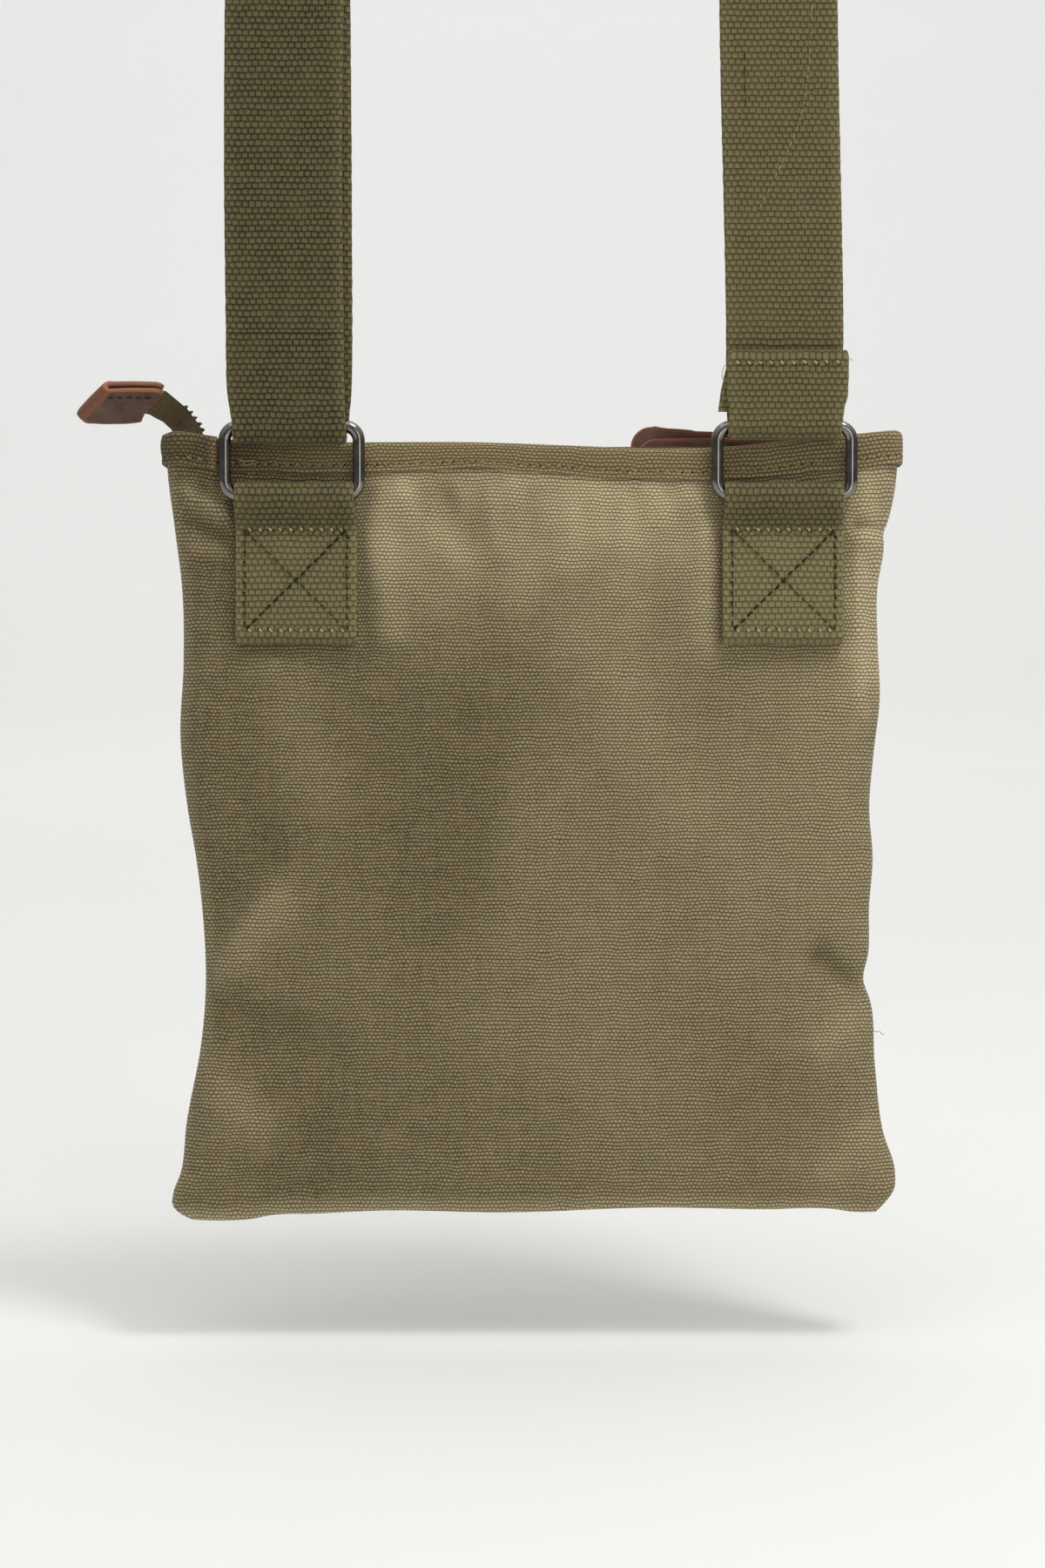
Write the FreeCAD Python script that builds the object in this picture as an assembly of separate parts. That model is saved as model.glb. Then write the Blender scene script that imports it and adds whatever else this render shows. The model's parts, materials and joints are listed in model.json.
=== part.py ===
"""Small canvas shoulder bag hung by its webbing strap, one STEP file for each separate piece.

Frame: millimetres, +Z up, +X to the wearer-side view's right, -Y out of the back (wearer) side, +Y out
of the front. The origin is the underside of the strap's crown, where a peg or a shoulder holds the bag.
The bag itself is drawn upright, with its mouth at height 0 and its lower ring bars above the anchor tabs,
and is then turned about those bars by REST_TILT, so that its centre of mass hangs below them.
"""
import FreeCAD, Part
import math
import os

from FreeCAD import Vector

os.makedirs("parts", exist_ok=True)

X_AXIS = Vector(1, 0, 0)
Y_AXIS = Vector(0, 1, 0)
Z_AXIS = Vector(0, 0, 1)

# Webbing and rings
WEB_WIDTH = 38.0
WEB_THICK = 1.8
WEB_PINCH = 34.0            # width of the webbing where it is gathered inside a ring
WIRE_R = 2.0                # ring wire radius
RING_W = 43.0               # ring, bar to bar across, on the wire's centre line
RING_H = 22.0               # ring, upper bar to lower bar
RING_CORNER = 4.5
LOOSE = 0.25                # play between a webbing loop and its bar
RING_LEFT_X = -77.5
RING_RIGHT_X = 80.5

# Strap, from the crown down to the upper ring bars
CROWN_R = 77.5              # centre line of the arch over the peg
BAR_Z = -515.0              # upper ring bars
FLAT_RUN = 260.0            # untwisted strap above each upper bar
TWIST_STEPS = 12
MERGE_RUN = 60.0            # height over which the main layer comes back over the bar's centre
LEAN_RUN = 145.0            # height over which the right side leans in to the arch's width
FOLD_BACK = 23.7            # sewn end above the right upper bar
LOOP_GAP_TOP = 12.0         # where the layers of a sewn loop meet, away from its bar

# Adjuster on the left side, heights above the left upper bar
RETURN_START = 30.0
SEWN_START = 170.0
SEWN_FOLD = 178.0
ADJUSTER_H = 215.0
ADJUSTER_WIRE_R = 1.5
ADJUSTER_W = 42.0
ADJUSTER_HALF_H = 13.0
ADJUSTER_CORNER = 3.5
LAYER_GAP = 0.2

# Bag
REST_TILT = 6.0
MOUTH_BELOW_BAR = 4.5
CANVAS = 1.2
LINING = 0.5
TAPE = 0.7
BINDING = 0.8
BINDING_H = 9.6
BINDING_INNER_H = 4.0
TAB_BELOW_BAR = 47.0
TAB_MERGE = 14.0
HALF_MOUTH_W = 118.5
MOUTH_DEPTH = 16.8
BAG_H = 250.0

loop_in = WIRE_R + LOOSE
loop_out = loop_in + WEB_THICK
bag_back = loop_out                         # outer face of the back panel, bars at Y = 0
mouth_mid = bag_back + MOUTH_DEPTH / 2
mouth_front = bag_back + MOUTH_DEPTH
lower_bar = MOUTH_BELOW_BAR - RING_H        # in the bag's own heights
pivot = Vector(0, 0, BAR_Z - RING_H)

# The pouch from mouth to bottom: height, half width, back face, front face, corner radius
POUCH = [
    (0.0, HALF_MOUTH_W, bag_back, mouth_front, 6.0),
    (-12.0, HALF_MOUTH_W, bag_back, mouth_front, 6.0),
    (-66.0, 113.3, bag_back, 25.5, 8.0),
    (-120.0, 111.0, 4.2, 29.0, 10.0),
    (-172.0, 107.5, 4.6, 31.0, 11.0),
    (-215.0, 112.0, 5.2, 29.5, 11.0),
    (-238.0, 116.0, 6.8, 25.0, 8.5),
    (-BAG_H, 112.0, 9.9, 15.0, 2.4),
]

# Zip
CHAIN_Z = -6.5              # height of the chain's middle, sunk between the bindings
TOOTH_PITCH = 2.5
TOOTH = Vector(1.3, 2.4, 2.2)
CHAIN_GAP = 0.6             # half the slot that the slider's post runs in
CHAIN_LEFT = -102.0
CHAIN_RIGHT = 110.0
TAPE_THICK = 0.8
TAPE_HALF_L = 112.0
RISER_L = 12.6              # tape that rises from the chain's left end to the tail
RISER_TOP = 0.9
RISER_GAP = 0.1             # half the gap between the two tapes there
SLIDER_X = 103.0
SLIDER_L = 11.0
SLIDER_W = 9.0
SLIDER_PLATE = 1.0
SLIDER_GAP = 0.3
BAIL_H = 2.2
PULL_L = 19.0
PULL_W = 6.5
PULL_T = 1.2
PIN_R = 0.55

# Zip tail: its lower and upper edge (x, z) at the mouth, at the cap's opening and inside the cap
TAIL_HALF_T = 1.2
TAIL = [((-116.1, 2.2), (-107.6, 4.6)), ((-124.9, 10.8), (-119.0, 17.3)), ((-132.0, 10.8), (-132.0, 17.0))]
TAIL_TILT = 44.0            # the cap leans its top edge to the back of the bag
TAIL_TEETH = 4
CAP_AXIS_Z = 13.8           # height that the cap leans about
CAP_LEATHER = 1.85
CAP = [(-138.5, 19.7), (-120.5, 19.7), (-124.0, 15.0), (-127.1, 11.0), (-128.2, 7.9), (-146.3, 7.9),
       (-147.5, 9.6)]

# Leather slip pocket on the front
POCKET_X0 = 32.0
POCKET_X1 = 102.0
POCKET_BOTTOM = -104.0
LEATHER = 1.8
POCKET_ROOM = 6.0
POCKET_CORNER = 8.0
NEAR_PLY_TOP = 4.2
FAR_PLY_TOP = 8.2


def save(name, shape):
    """Write one piece in the bag's hung position."""
    shape.exportStep("parts/" + name + ".step")
    print(name, len(shape.Solids), "solid(s)", round(shape.Volume), "mm3", shape.isValid())


def hang(shape):
    """Move a piece from the bag's own frame to where it hangs."""
    hung = shape.copy()
    hung.translate(Vector(0, 0, BAR_Z - MOUTH_BELOW_BAR))
    hung.rotate(pivot, X_AXIS, -REST_TILT)
    return hung


def box(x0, x1, y0, y1, z0, z1):
    return Part.makeBox(x1 - x0, y1 - y0, z1 - z0, Vector(x0, y0, z0))


def rod(radius, start, end):
    run = end - start
    return Part.makeCylinder(radius, run.Length, start, run)


def plate_yz(edges, x0, x1):
    """A flat outline in the YZ plane, made x0 to x1 wide."""
    face = Part.Face(Part.Wire(edges))
    face.translate(Vector(x0, 0, 0))
    return face.extrude(Vector(x1 - x0, 0, 0))


def outline_yz(points):
    """Straight edges through (y, z) points, open."""
    line = [Vector(0, y, z) for y, z in points]
    return [Part.makeLine(a, b) for a, b in zip(line, line[1:])]


def plate_xz(points, y0, y1):
    """A closed outline of (x, z) points, made y0 to y1 thick."""
    face = Part.Face(Part.makePolygon([Vector(x, y0, z) for x, z in points + points[:1]]))
    return face.extrude(Vector(0, y1 - y0, 0))


def half_round(radius, side, z=0.0, y=0.0):
    """Half circle about a bar, from its -Y side to its +Y side, below it (-1) or above it (+1)."""
    return Part.Arc(Vector(0, y - radius, z), Vector(0, y, z + side * radius),
                    Vector(0, y + radius, z)).toShape()


def frame_loop(width, height, corner, wire_r, centre):
    """Closed loop of round wire in an XZ plane: bars, side legs and torus corners."""
    half_w = width / 2 - corner
    half_h = height / 2 - corner
    pieces = []
    for side in (-1, 1):
        bar_z = side * height / 2
        leg_x = side * width / 2
        pieces.append(rod(wire_r, Vector(-half_w, 0, bar_z), Vector(half_w, 0, bar_z)))
        pieces.append(rod(wire_r, Vector(leg_x, 0, -half_h), Vector(leg_x, 0, half_h)))
    for quarter, (sx, sz) in enumerate(((1, 1), (1, -1), (-1, -1), (-1, 1))):
        bend = Part.makeTorus(corner, wire_r, Vector(), Z_AXIS, -180, 180, 90)
        bend.rotate(Vector(), X_AXIS, 90)
        bend.rotate(Vector(), Y_AXIS, 90 * quarter)
        bend.translate(Vector(sx * half_w, 0, sz * half_h))
        pieces.append(bend)
    loop = pieces[0].fuse(pieces[1:]).removeSplitter()
    loop.translate(centre)
    return loop


def ring(x):
    return frame_loop(RING_W, RING_H, RING_CORNER, WIRE_R, Vector(x, 0, BAR_Z - RING_H / 2))


def gather(webbing, x, bar_z):
    """Narrow a webbing loop to WEB_PINCH wide next to its ring bar."""
    reach = loop_out + 1.5
    side = (WEB_WIDTH - WEB_PINCH) / 2
    for x0 in (x - WEB_WIDTH / 2 - 1, x + WEB_WIDTH / 2 - side):
        webbing = webbing.cut(box(x0, x0 + side + 1, -reach, reach, bar_z - reach, bar_z + reach))
    return webbing


# Strap

def strap_section(x, z, turn):
    """Webbing's rectangle at one height, turned about the vertical."""
    half_w, half_t = WEB_WIDTH / 2, WEB_THICK / 2
    corners = [(-half_w, -half_t), (half_w, -half_t), (half_w, half_t), (-half_w, half_t)]
    wire = Part.makePolygon([Vector(a, b, 0) for a, b in corners + corners[:1]])
    wire.rotate(Vector(), Z_AXIS, turn)
    wire.translate(Vector(x, 0, z))
    return wire


def strap_riser(ring_x, arch_x, turn):
    """One side of the strap: flat run above the merge, lean to the arch's width, quarter twist."""
    top = -(CROWN_R - WEB_THICK / 2)
    flat_top = BAR_Z + FLAT_RUN
    sections = [
        strap_section(ring_x, BAR_Z + MERGE_RUN, 0),
        strap_section(arch_x, BAR_Z + LEAN_RUN, 0),
        strap_section(arch_x, flat_top, 0),
    ]
    for step in range(1, TWIST_STEPS + 1):
        share = step / TWIST_STEPS
        sections.append(strap_section(arch_x, flat_top + share * (top - flat_top), turn * share))
    return Part.makeLoft(sections, True, True)


def strap_arch():
    """The half round over the peg, with the webbing's width along Y."""
    inner, outer = CROWN_R - WEB_THICK / 2, CROWN_R + WEB_THICK / 2
    y0 = -WEB_WIDTH / 2
    centre = Vector(0, y0, -inner)
    shell = Part.makeCylinder(outer, WEB_WIDTH, centre, Y_AXIS)
    shell = shell.cut(Part.makeCylinder(inner, WEB_WIDTH, centre, Y_AXIS))
    return shell.common(box(-outer, outer, y0, -y0, -inner, outer))


def loop_right():
    """Sewn end of the strap round the right ring: main layer, fold-back and its turned-under end."""
    half_t = WEB_THICK / 2
    face_at_fold = loop_in - (loop_in + half_t) * FOLD_BACK / MERGE_RUN
    outer = outline_yz([(loop_out, 0), (half_t, MERGE_RUN), (-half_t, MERGE_RUN),
                        (face_at_fold, FOLD_BACK), (face_at_fold - 2 * WEB_THICK, FOLD_BACK),
                        (-loop_out, 0)])
    body = plate_yz(outer + [half_round(loop_out, -1)], -WEB_WIDTH / 2, WEB_WIDTH / 2)
    gap = outline_yz([(loop_in, 0), (face_at_fold, LOOP_GAP_TOP), (-loop_in, 0)])
    body = body.cut(plate_yz(gap + [half_round(loop_in, -1)], -WEB_WIDTH, WEB_WIDTH))
    body.translate(Vector(RING_RIGHT_X, 0, BAR_Z))
    return gather(body, RING_RIGHT_X, BAR_Z)


def loop_left():
    """The strap's turn round the left ring: main layer behind, start of the return run in front."""
    half_t = WEB_THICK / 2
    front = half_t + LAYER_GAP
    edges = outline_yz([(loop_out, 0), (half_t, MERGE_RUN), (-half_t, MERGE_RUN), (loop_in, 0)])
    edges.append(half_round(loop_in, -1))
    edges += outline_yz([(-loop_in, 0), (-front, RETURN_START),
                         (-front - WEB_THICK, RETURN_START), (-loop_out, 0)])
    edges.append(half_round(loop_out, -1))
    body = plate_yz(edges, -WEB_WIDTH / 2, WEB_WIDTH / 2)
    body.translate(Vector(RING_LEFT_X, 0, BAR_Z))
    return gather(body, RING_LEFT_X, BAR_Z)


def shoulder_strap():
    pieces = [
        strap_riser(RING_LEFT_X, -CROWN_R, 90),
        strap_riser(RING_RIGHT_X, CROWN_R, -90),
        loop_left(),
        loop_right(),
    ]
    return strap_arch().fuse(pieces)


def strap_return_run():
    front = WEB_THICK / 2 + LAYER_GAP
    return box(RING_LEFT_X - WEB_WIDTH / 2, RING_LEFT_X + WEB_WIDTH / 2, -front - WEB_THICK, -front,
               BAR_Z + RETURN_START, BAR_Z + SEWN_START)


def strap_sewn_end():
    """The strap's other end: round the adjuster's middle bar and sewn back on itself."""
    back = -(WEB_THICK / 2 + LAYER_GAP)
    inner = ADJUSTER_WIRE_R + 0.05
    outer = inner + WEB_THICK
    bar_y = back - outer
    front = back - 2 * WEB_THICK
    edges = outline_yz([(bar_y - outer, ADJUSTER_H), (front, ADJUSTER_H - LOOP_GAP_TOP),
                        (front, SEWN_FOLD), (back - WEB_THICK, SEWN_FOLD),
                        (back - WEB_THICK, SEWN_START), (back, SEWN_START), (back, ADJUSTER_H)])
    body = plate_yz(edges + [half_round(outer, 1, ADJUSTER_H, bar_y)],
                    -WEB_WIDTH / 2, WEB_WIDTH / 2)
    gap = outline_yz([(bar_y - inner, ADJUSTER_H), (back - WEB_THICK, ADJUSTER_H - LOOP_GAP_TOP),
                      (bar_y + inner, ADJUSTER_H)])
    body = body.cut(plate_yz(gap + [half_round(inner, 1, ADJUSTER_H, bar_y)],
                             -WEB_WIDTH, WEB_WIDTH))
    body.translate(Vector(RING_LEFT_X, 0, BAR_Z))
    return body


def adjuster_slide():
    """Wire slide: outer loop behind the main layer, raised middle bar in front of it."""
    r = ADJUSTER_WIRE_R
    loop_y = WEB_THICK / 2 + 0.3 + r
    bar_y = -(WEB_THICK / 2 + LAYER_GAP) - (r + 0.05 + WEB_THICK)
    z = BAR_Z + ADJUSTER_H
    loop = frame_loop(ADJUSTER_W, 2 * ADJUSTER_HALF_H, ADJUSTER_CORNER, r,
                      Vector(RING_LEFT_X, loop_y, z))
    bar_r = r - 0.1
    bend_r = (ADJUSTER_W - WEB_WIDTH) / 2 - 0.2
    half = ADJUSTER_W / 2 - bend_r
    pieces = [rod(bar_r, Vector(RING_LEFT_X - half, bar_y, z), Vector(RING_LEFT_X + half, bar_y, z))]
    for side in (-1, 1):
        bend = Part.makeTorus(bend_r, bar_r, Vector(), Z_AXIS, -180, 180, 90)
        bend.rotate(Vector(), Z_AXIS, -90 if side > 0 else 180)
        bend.translate(Vector(RING_LEFT_X + side * half, bar_y + bend_r, z))
        leg_x = RING_LEFT_X + side * ADJUSTER_W / 2
        pieces += [bend, rod(bar_r, Vector(leg_x, bar_y + bend_r, z), Vector(leg_x, loop_y, z))]
    bar = pieces[0].fuse(pieces[1:]).removeSplitter()
    return loop.fuse(bar)


# Bag shell, in the bag's own frame

def pouch_wire(level, inset):
    """Rounded rectangle at one level of the pouch, moved in by inset."""
    z, half_w, back, front, corner = level
    x = half_w - inset
    y0, y1 = back + inset, front - inset
    r = max(corner - inset, 0.4)
    k = r * (1 - math.sqrt(0.5))
    lines = [((-x + r, y0), (x - r, y0)), ((x, y0 + r), (x, y1 - r)),
             ((x - r, y1), (-x + r, y1)), ((-x, y1 - r), (-x, y0 + r))]
    mids = [(x - k, y0 + k), (x - k, y1 - k), (-x + k, y1 - k), (-x + k, y0 + k)]
    edges = []
    for index, (start, end) in enumerate(lines):
        nxt = lines[(index + 1) % 4][0]
        edges.append(Part.makeLine(Vector(*start, z), Vector(*end, z)))
        arc = Part.Arc(Vector(*end, z), Vector(*mids[index], z), Vector(*nxt, z))
        edges.append(arc.toShape())
    return Part.Wire(edges)


def pouch(inset):
    """Solid of the whole pouch, moved in by inset on its sides and bottom."""
    levels = list(POUCH)
    if inset > 0:
        last = levels[-1]
        levels[-1] = (last[0] + inset,) + last[1:]
    return Part.makeLoft([pouch_wire(level, inset) for level in levels], True, True)


def mouth_prism(inset, z0, z1):
    """The mouth's outline moved in by inset, from height z0 up to z1."""
    wire = pouch_wire((z0,) + POUCH[0][1:], inset)
    return Part.Face(wire).extrude(Vector(0, 0, z1 - z0))


def skin(outer_inset, inner_inset):
    """Shell between two insets, open at the mouth below the binding's fold."""
    shell = pouch(outer_inset).cut(pouch(inner_inset))
    reach = HALF_MOUTH_W + 10
    return shell.cut(box(-reach, reach, -50, 100, -BINDING, 10))


def back_half(shape):
    return shape.common(box(-200, 200, -50, mouth_mid, -300, 50))


def front_half(shape):
    return shape.common(box(-200, 200, mouth_mid, 100, -300, 50))


def mouth_binding():
    """Folded strip over the raw edges all round the mouth, deeper outside than inside."""
    stack = CANVAS + LINING + TAPE
    body = mouth_prism(-BINDING, -BINDING_H, 0)
    body = body.cut(mouth_prism(stack + BINDING, -BINDING_H, 0))
    body = body.cut(mouth_prism(0, -BINDING_H, -BINDING_INNER_H))
    groove = mouth_prism(0, -BINDING_INNER_H, -BINDING)
    return body.cut(groove.cut(mouth_prism(stack, -BINDING_INNER_H, -BINDING)))


def anchor_tab(x):
    """Webbing folded over a lower ring bar and sewn flat on the back panel."""
    low = lower_bar - TAB_BELOW_BAR
    join = lower_bar - TAB_MERGE
    face = bag_back - 2 * WEB_THICK
    outer = outline_yz([(bag_back, lower_bar), (bag_back, low), (face, low), (face, join),
                        (-loop_out, lower_bar)])
    body = plate_yz(outer + [half_round(loop_out, 1, lower_bar)], -WEB_WIDTH / 2, WEB_WIDTH / 2)
    gap = outline_yz([(loop_in, lower_bar), (bag_back - WEB_THICK, join), (-loop_in, lower_bar)])
    body = body.cut(plate_yz(gap + [half_round(loop_in, 1, lower_bar)], -WEB_WIDTH, WEB_WIDTH))
    body.translate(Vector(x, 0, 0))
    return gather(body, x, lower_bar)


# Zip, in the bag's own frame

def zip_tape(side):
    """Tape along one edge: sewn flange, flat leg under the teeth and the riser to the tail."""
    stack = CANVAS + LINING
    flange_y = MOUTH_DEPTH / 2 - stack - TAPE
    teeth_y = CHAIN_GAP + TOOTH.y
    low = CHAIN_Z - TAPE_THICK / 2
    end = CHAIN_LEFT - RISER_L
    half = CHAIN_LEFT - RISER_L / 2
    flange = box(-TAPE_HALF_L, TAPE_HALF_L, flange_y, flange_y + TAPE, low, -BINDING)
    leg = box(-TAPE_HALF_L - 2, TAPE_HALF_L + 2, teeth_y, flange_y, low, low + TAPE_THICK)
    riser = plate_xz([(CHAIN_LEFT, low), (half, low), (end, -2), (end, RISER_TOP),
                      (half, RISER_TOP), (CHAIN_LEFT, low + 2)], RISER_GAP, TAIL_HALF_T)
    bridge = box(half, CHAIN_LEFT, TAIL_HALF_T, teeth_y, low, low + TAPE_THICK)
    tape = flange.fuse([leg, bridge, riser]).removeSplitter()
    if side < 0:
        tape = tape.mirror(Vector(), Y_AXIS)
    tape.translate(Vector(0, mouth_mid, 0))
    return tape


def zip_teeth(side):
    """One row of teeth, half a pitch out of step with the other row."""
    count = int((CHAIN_RIGHT - CHAIN_LEFT) / TOOTH_PITCH) - 1
    start = CHAIN_LEFT + (TOOTH_PITCH / 2 if side > 0 else 0)
    y0 = mouth_mid + (CHAIN_GAP if side > 0 else -CHAIN_GAP - TOOTH.y)
    z0 = CHAIN_Z - TOOTH.z / 2
    teeth = []
    for index in range(count):
        x = start + index * TOOTH_PITCH
        teeth.append(box(x, x + TOOTH.x, y0, y0 + TOOTH.y, z0, z0 + TOOTH.z))
    return Part.makeCompound(teeth)


def zip_stop():
    reach = CHAIN_GAP + TOOTH.y
    return box(CHAIN_RIGHT + 0.3, CHAIN_RIGHT + 2.8, mouth_mid - reach, mouth_mid + reach,
               CHAIN_Z - 1.3, CHAIN_Z + 1.3)


def bail_pin():
    """Centre of the pull's pin, under the slider's bail."""
    return Vector(SLIDER_X, mouth_mid, slider_top() + 0.4 + PIN_R)


def slider_top():
    return CHAIN_Z + TOOTH.z / 2 + SLIDER_GAP + SLIDER_PLATE


def zip_slider():
    """Two plates over and under the teeth, a post between the rows, side lips and the bail."""
    x0, x1 = SLIDER_X - SLIDER_L / 2, SLIDER_X + SLIDER_L / 2
    y0, y1 = mouth_mid - SLIDER_W / 2, mouth_mid + SLIDER_W / 2
    top = slider_top()
    low = 2 * CHAIN_Z - top
    lip = 0.9
    slot = TAPE_THICK / 2 + SLIDER_GAP
    body = box(x0, x1, y0, y1, low, top)
    body = body.cut(box(x0, x1, y0 + lip, y1 - lip, low + SLIDER_PLATE, top - SLIDER_PLATE))
    body = body.cut(box(x0, x1, y0, y1, CHAIN_Z - slot, CHAIN_Z + slot))
    post_r = CHAIN_GAP - 0.25
    post = box(SLIDER_X - 2.5, SLIDER_X + 2.5, mouth_mid - post_r, mouth_mid + post_r, low, top)
    bail_w = 1.2
    arch = box(SLIDER_X - 3.2, SLIDER_X + 3.2, mouth_mid - bail_w, mouth_mid + bail_w,
               top, top + BAIL_H + 0.4)
    arch = arch.cut(box(SLIDER_X - 2.2, SLIDER_X + 2.2, mouth_mid - bail_w, mouth_mid + bail_w,
                        top, top + BAIL_H - 0.4))
    return body.fuse([post, arch]).removeSplitter()


def zip_pull():
    """Flat pull lying along the chain: pin under the bail, two arms and a blade with a hole."""
    pin = bail_pin()
    arm_y = PULL_W / 2
    arm_w = 1.2
    z0, z1 = pin.z - PIN_R, pin.z - PIN_R + PULL_T
    body = rod(PIN_R, Vector(pin.x, pin.y - arm_y, pin.z), Vector(pin.x, pin.y + arm_y, pin.z))
    arms = [box(pin.x - 6.0, pin.x + 0.7, pin.y + side * arm_y - (arm_w if side > 0 else 0),
                pin.y + side * arm_y + (0 if side > 0 else arm_w), z0, z1) for side in (-1, 1)]
    blade = box(pin.x - PULL_L, pin.x - 5.0, pin.y - arm_y, pin.y + arm_y, z0, z1)
    hole = Part.makeCylinder(1.8, 4, Vector(pin.x - PULL_L + 3.6, pin.y, z0 - 1), Z_AXIS)
    return body.fuse(arms + [blade]).cut(hole).removeSplitter()


# Zip tail, in the bag's own frame: the tape folded on edge, rising over the left end of the mouth


def tail_depth(z, lean):
    """Depth of the tail's middle at a height, where it leans by a share of TAIL_TILT."""
    return mouth_mid - (z - CAP_AXIS_Z) * math.tan(math.radians(TAIL_TILT)) * lean


def zip_tail_tape():
    """Folded tape, upright at the mouth and leaning with the cap at its end."""
    sections = []
    for (low, high), lean in zip(TAIL, (0, 1, 1)):
        corners = [(low, -1), (high, -1), (high, 1), (low, 1)]
        points = [Vector(x, tail_depth(z, lean) + side * TAIL_HALF_T, z) for (x, z), side in corners]
        sections.append(Part.makePolygon(points + points[:1]))
    return Part.makeLoft(sections, True, True)


def zip_tail_teeth():
    """Teeth standing along the tail's upper edge."""
    tape = zip_tail_tape()
    (x0, z0), (x1, z1) = TAIL[0][1], TAIL[1][1]
    turn = 90 - math.degrees(math.atan2(x0 - x1, z1 - z0))
    teeth = []
    for index in range(1, TAIL_TEETH + 1):
        share = 0.56 * index / TAIL_TEETH
        z = z0 + share * (z1 - z0)
        y = mouth_mid + share * (tail_depth(z1, 1) - mouth_mid)
        tooth = box(-0.6, 0.6, y - TAIL_HALF_T, y + TAIL_HALF_T, -0.3, 1.2)
        tooth.rotate(Vector(0, y, 0), Y_AXIS, turn)
        tooth.translate(Vector(x0 + share * (x1 - x0), 0, z))
        teeth.append(tooth.cut(tape))
    return Part.makeCompound(teeth)


def zip_end_cap():
    """Leather folded round the tape's end and sewn along its top, leaning to the back."""
    half_t = TAIL_HALF_T + CAP_LEATHER
    cap = plate_xz(CAP, mouth_mid - half_t, mouth_mid + half_t)
    cap.rotate(Vector(0, mouth_mid, CAP_AXIS_Z), X_AXIS, TAIL_TILT)
    return cap.cut(zip_tail_tape())


# Leather slip pocket, in the bag's own frame

def pocket_profile(near, far, top, bottom):
    """Slab that follows the front panel, from near to far off its face."""
    clear = 0.1
    front = mouth_front + BINDING + clear
    shift = POUCH[2][3] - POUCH[1][3]
    knee = POUCH[2][0]
    slope = (POUCH[3][3] - POUCH[2][3]) / (POUCH[2][0] - POUCH[3][0])
    line = [(front, top), (front, -BINDING_H - 1), (mouth_front + shift + clear, knee),
            (mouth_front + shift + clear + slope * (knee - bottom), bottom)]
    points = [(y + near, z) for y, z in line] + [(y + far, z) for y, z in reversed(line)]
    return outline_yz(points + points[:1])


def pocket_outline(top):
    """Front view of a ply, with its rounded corners."""
    r = POCKET_CORNER
    slab = box(POCKET_X0, POCKET_X1, 0, 80, POCKET_BOTTOM, top)
    upright = [e for e in slab.Edges if abs(e.Vertexes[0].Y - e.Vertexes[-1].Y) > 1]
    return slab.makeFillet(r, upright)


def pocket_back_ply():
    slab = plate_yz(pocket_profile(0, LEATHER, NEAR_PLY_TOP, POCKET_BOTTOM), POCKET_X0, POCKET_X1)
    return slab.common(pocket_outline(NEAR_PLY_TOP))


def pocket_front_ply():
    far = LEATHER + POCKET_ROOM
    slab = plate_yz(pocket_profile(LEATHER, far + LEATHER, FAR_PLY_TOP, POCKET_BOTTOM),
                    POCKET_X0, POCKET_X1)
    room = plate_yz(pocket_profile(LEATHER, far, FAR_PLY_TOP, POCKET_BOTTOM + LEATHER),
                    POCKET_X0 + LEATHER, POCKET_X1 - LEATHER)
    return slab.cut(room).common(pocket_outline(FAR_PLY_TOP))


canvas = skin(0, CANVAS)
lining = skin(CANVAS, CANVAS + LINING)

FIXED = {
    "shoulder_strap": shoulder_strap(),
    "strap_return_run": strap_return_run(),
    "strap_sewn_end": strap_sewn_end(),
    "adjuster_slide": adjuster_slide(),
    "ring_left": ring(RING_LEFT_X),
    "ring_right": ring(RING_RIGHT_X),
}
BAG = {
    "back_panel": back_half(canvas),
    "front_panel": front_half(canvas),
    "lining_back": back_half(lining),
    "lining_front": front_half(lining),
    "mouth_binding": mouth_binding(),
    "anchor_tab_left": anchor_tab(RING_LEFT_X),
    "anchor_tab_right": anchor_tab(RING_RIGHT_X),
    "zip_tape_back": zip_tape(-1),
    "zip_tape_front": zip_tape(1),
    "zip_teeth_back": zip_teeth(-1),
    "zip_teeth_front": zip_teeth(1),
    "zip_stop": zip_stop(),
    "zip_slider": zip_slider(),
    "zip_pull": zip_pull(),
    "zip_tail_tape": zip_tail_tape(),
    "zip_tail_teeth": zip_tail_teeth(),
    "zip_end_cap": zip_end_cap(),
    "pocket_back_ply": pocket_back_ply(),
    "pocket_front_ply": pocket_front_ply(),
}

for node, piece in FIXED.items():
    save(node, piece)
for node, piece in BAG.items():
    save(node, hang(piece))
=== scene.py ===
"""Looks of a small washed-canvas messenger bag that hangs by its webbing strap.

Shapes are worked out in millimetres in the bag's own frame: X across, Y out of the front (the wearer's side
is -Y), Z up, height 0 at the middle of the mouth. BAG_PLACE hangs that frame on the lower ring bars.
The strap is worked out in millimetres in the row frame. A mesh keeps its cloth coordinates, in millimetres
across and along the weave, in the attribute "cloth", and its worn places and painted light in the attribute
"wear".
"""

import json
import math
import random

import bpy
import numpy as np
from mathutils import Matrix, Vector, noise


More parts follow.
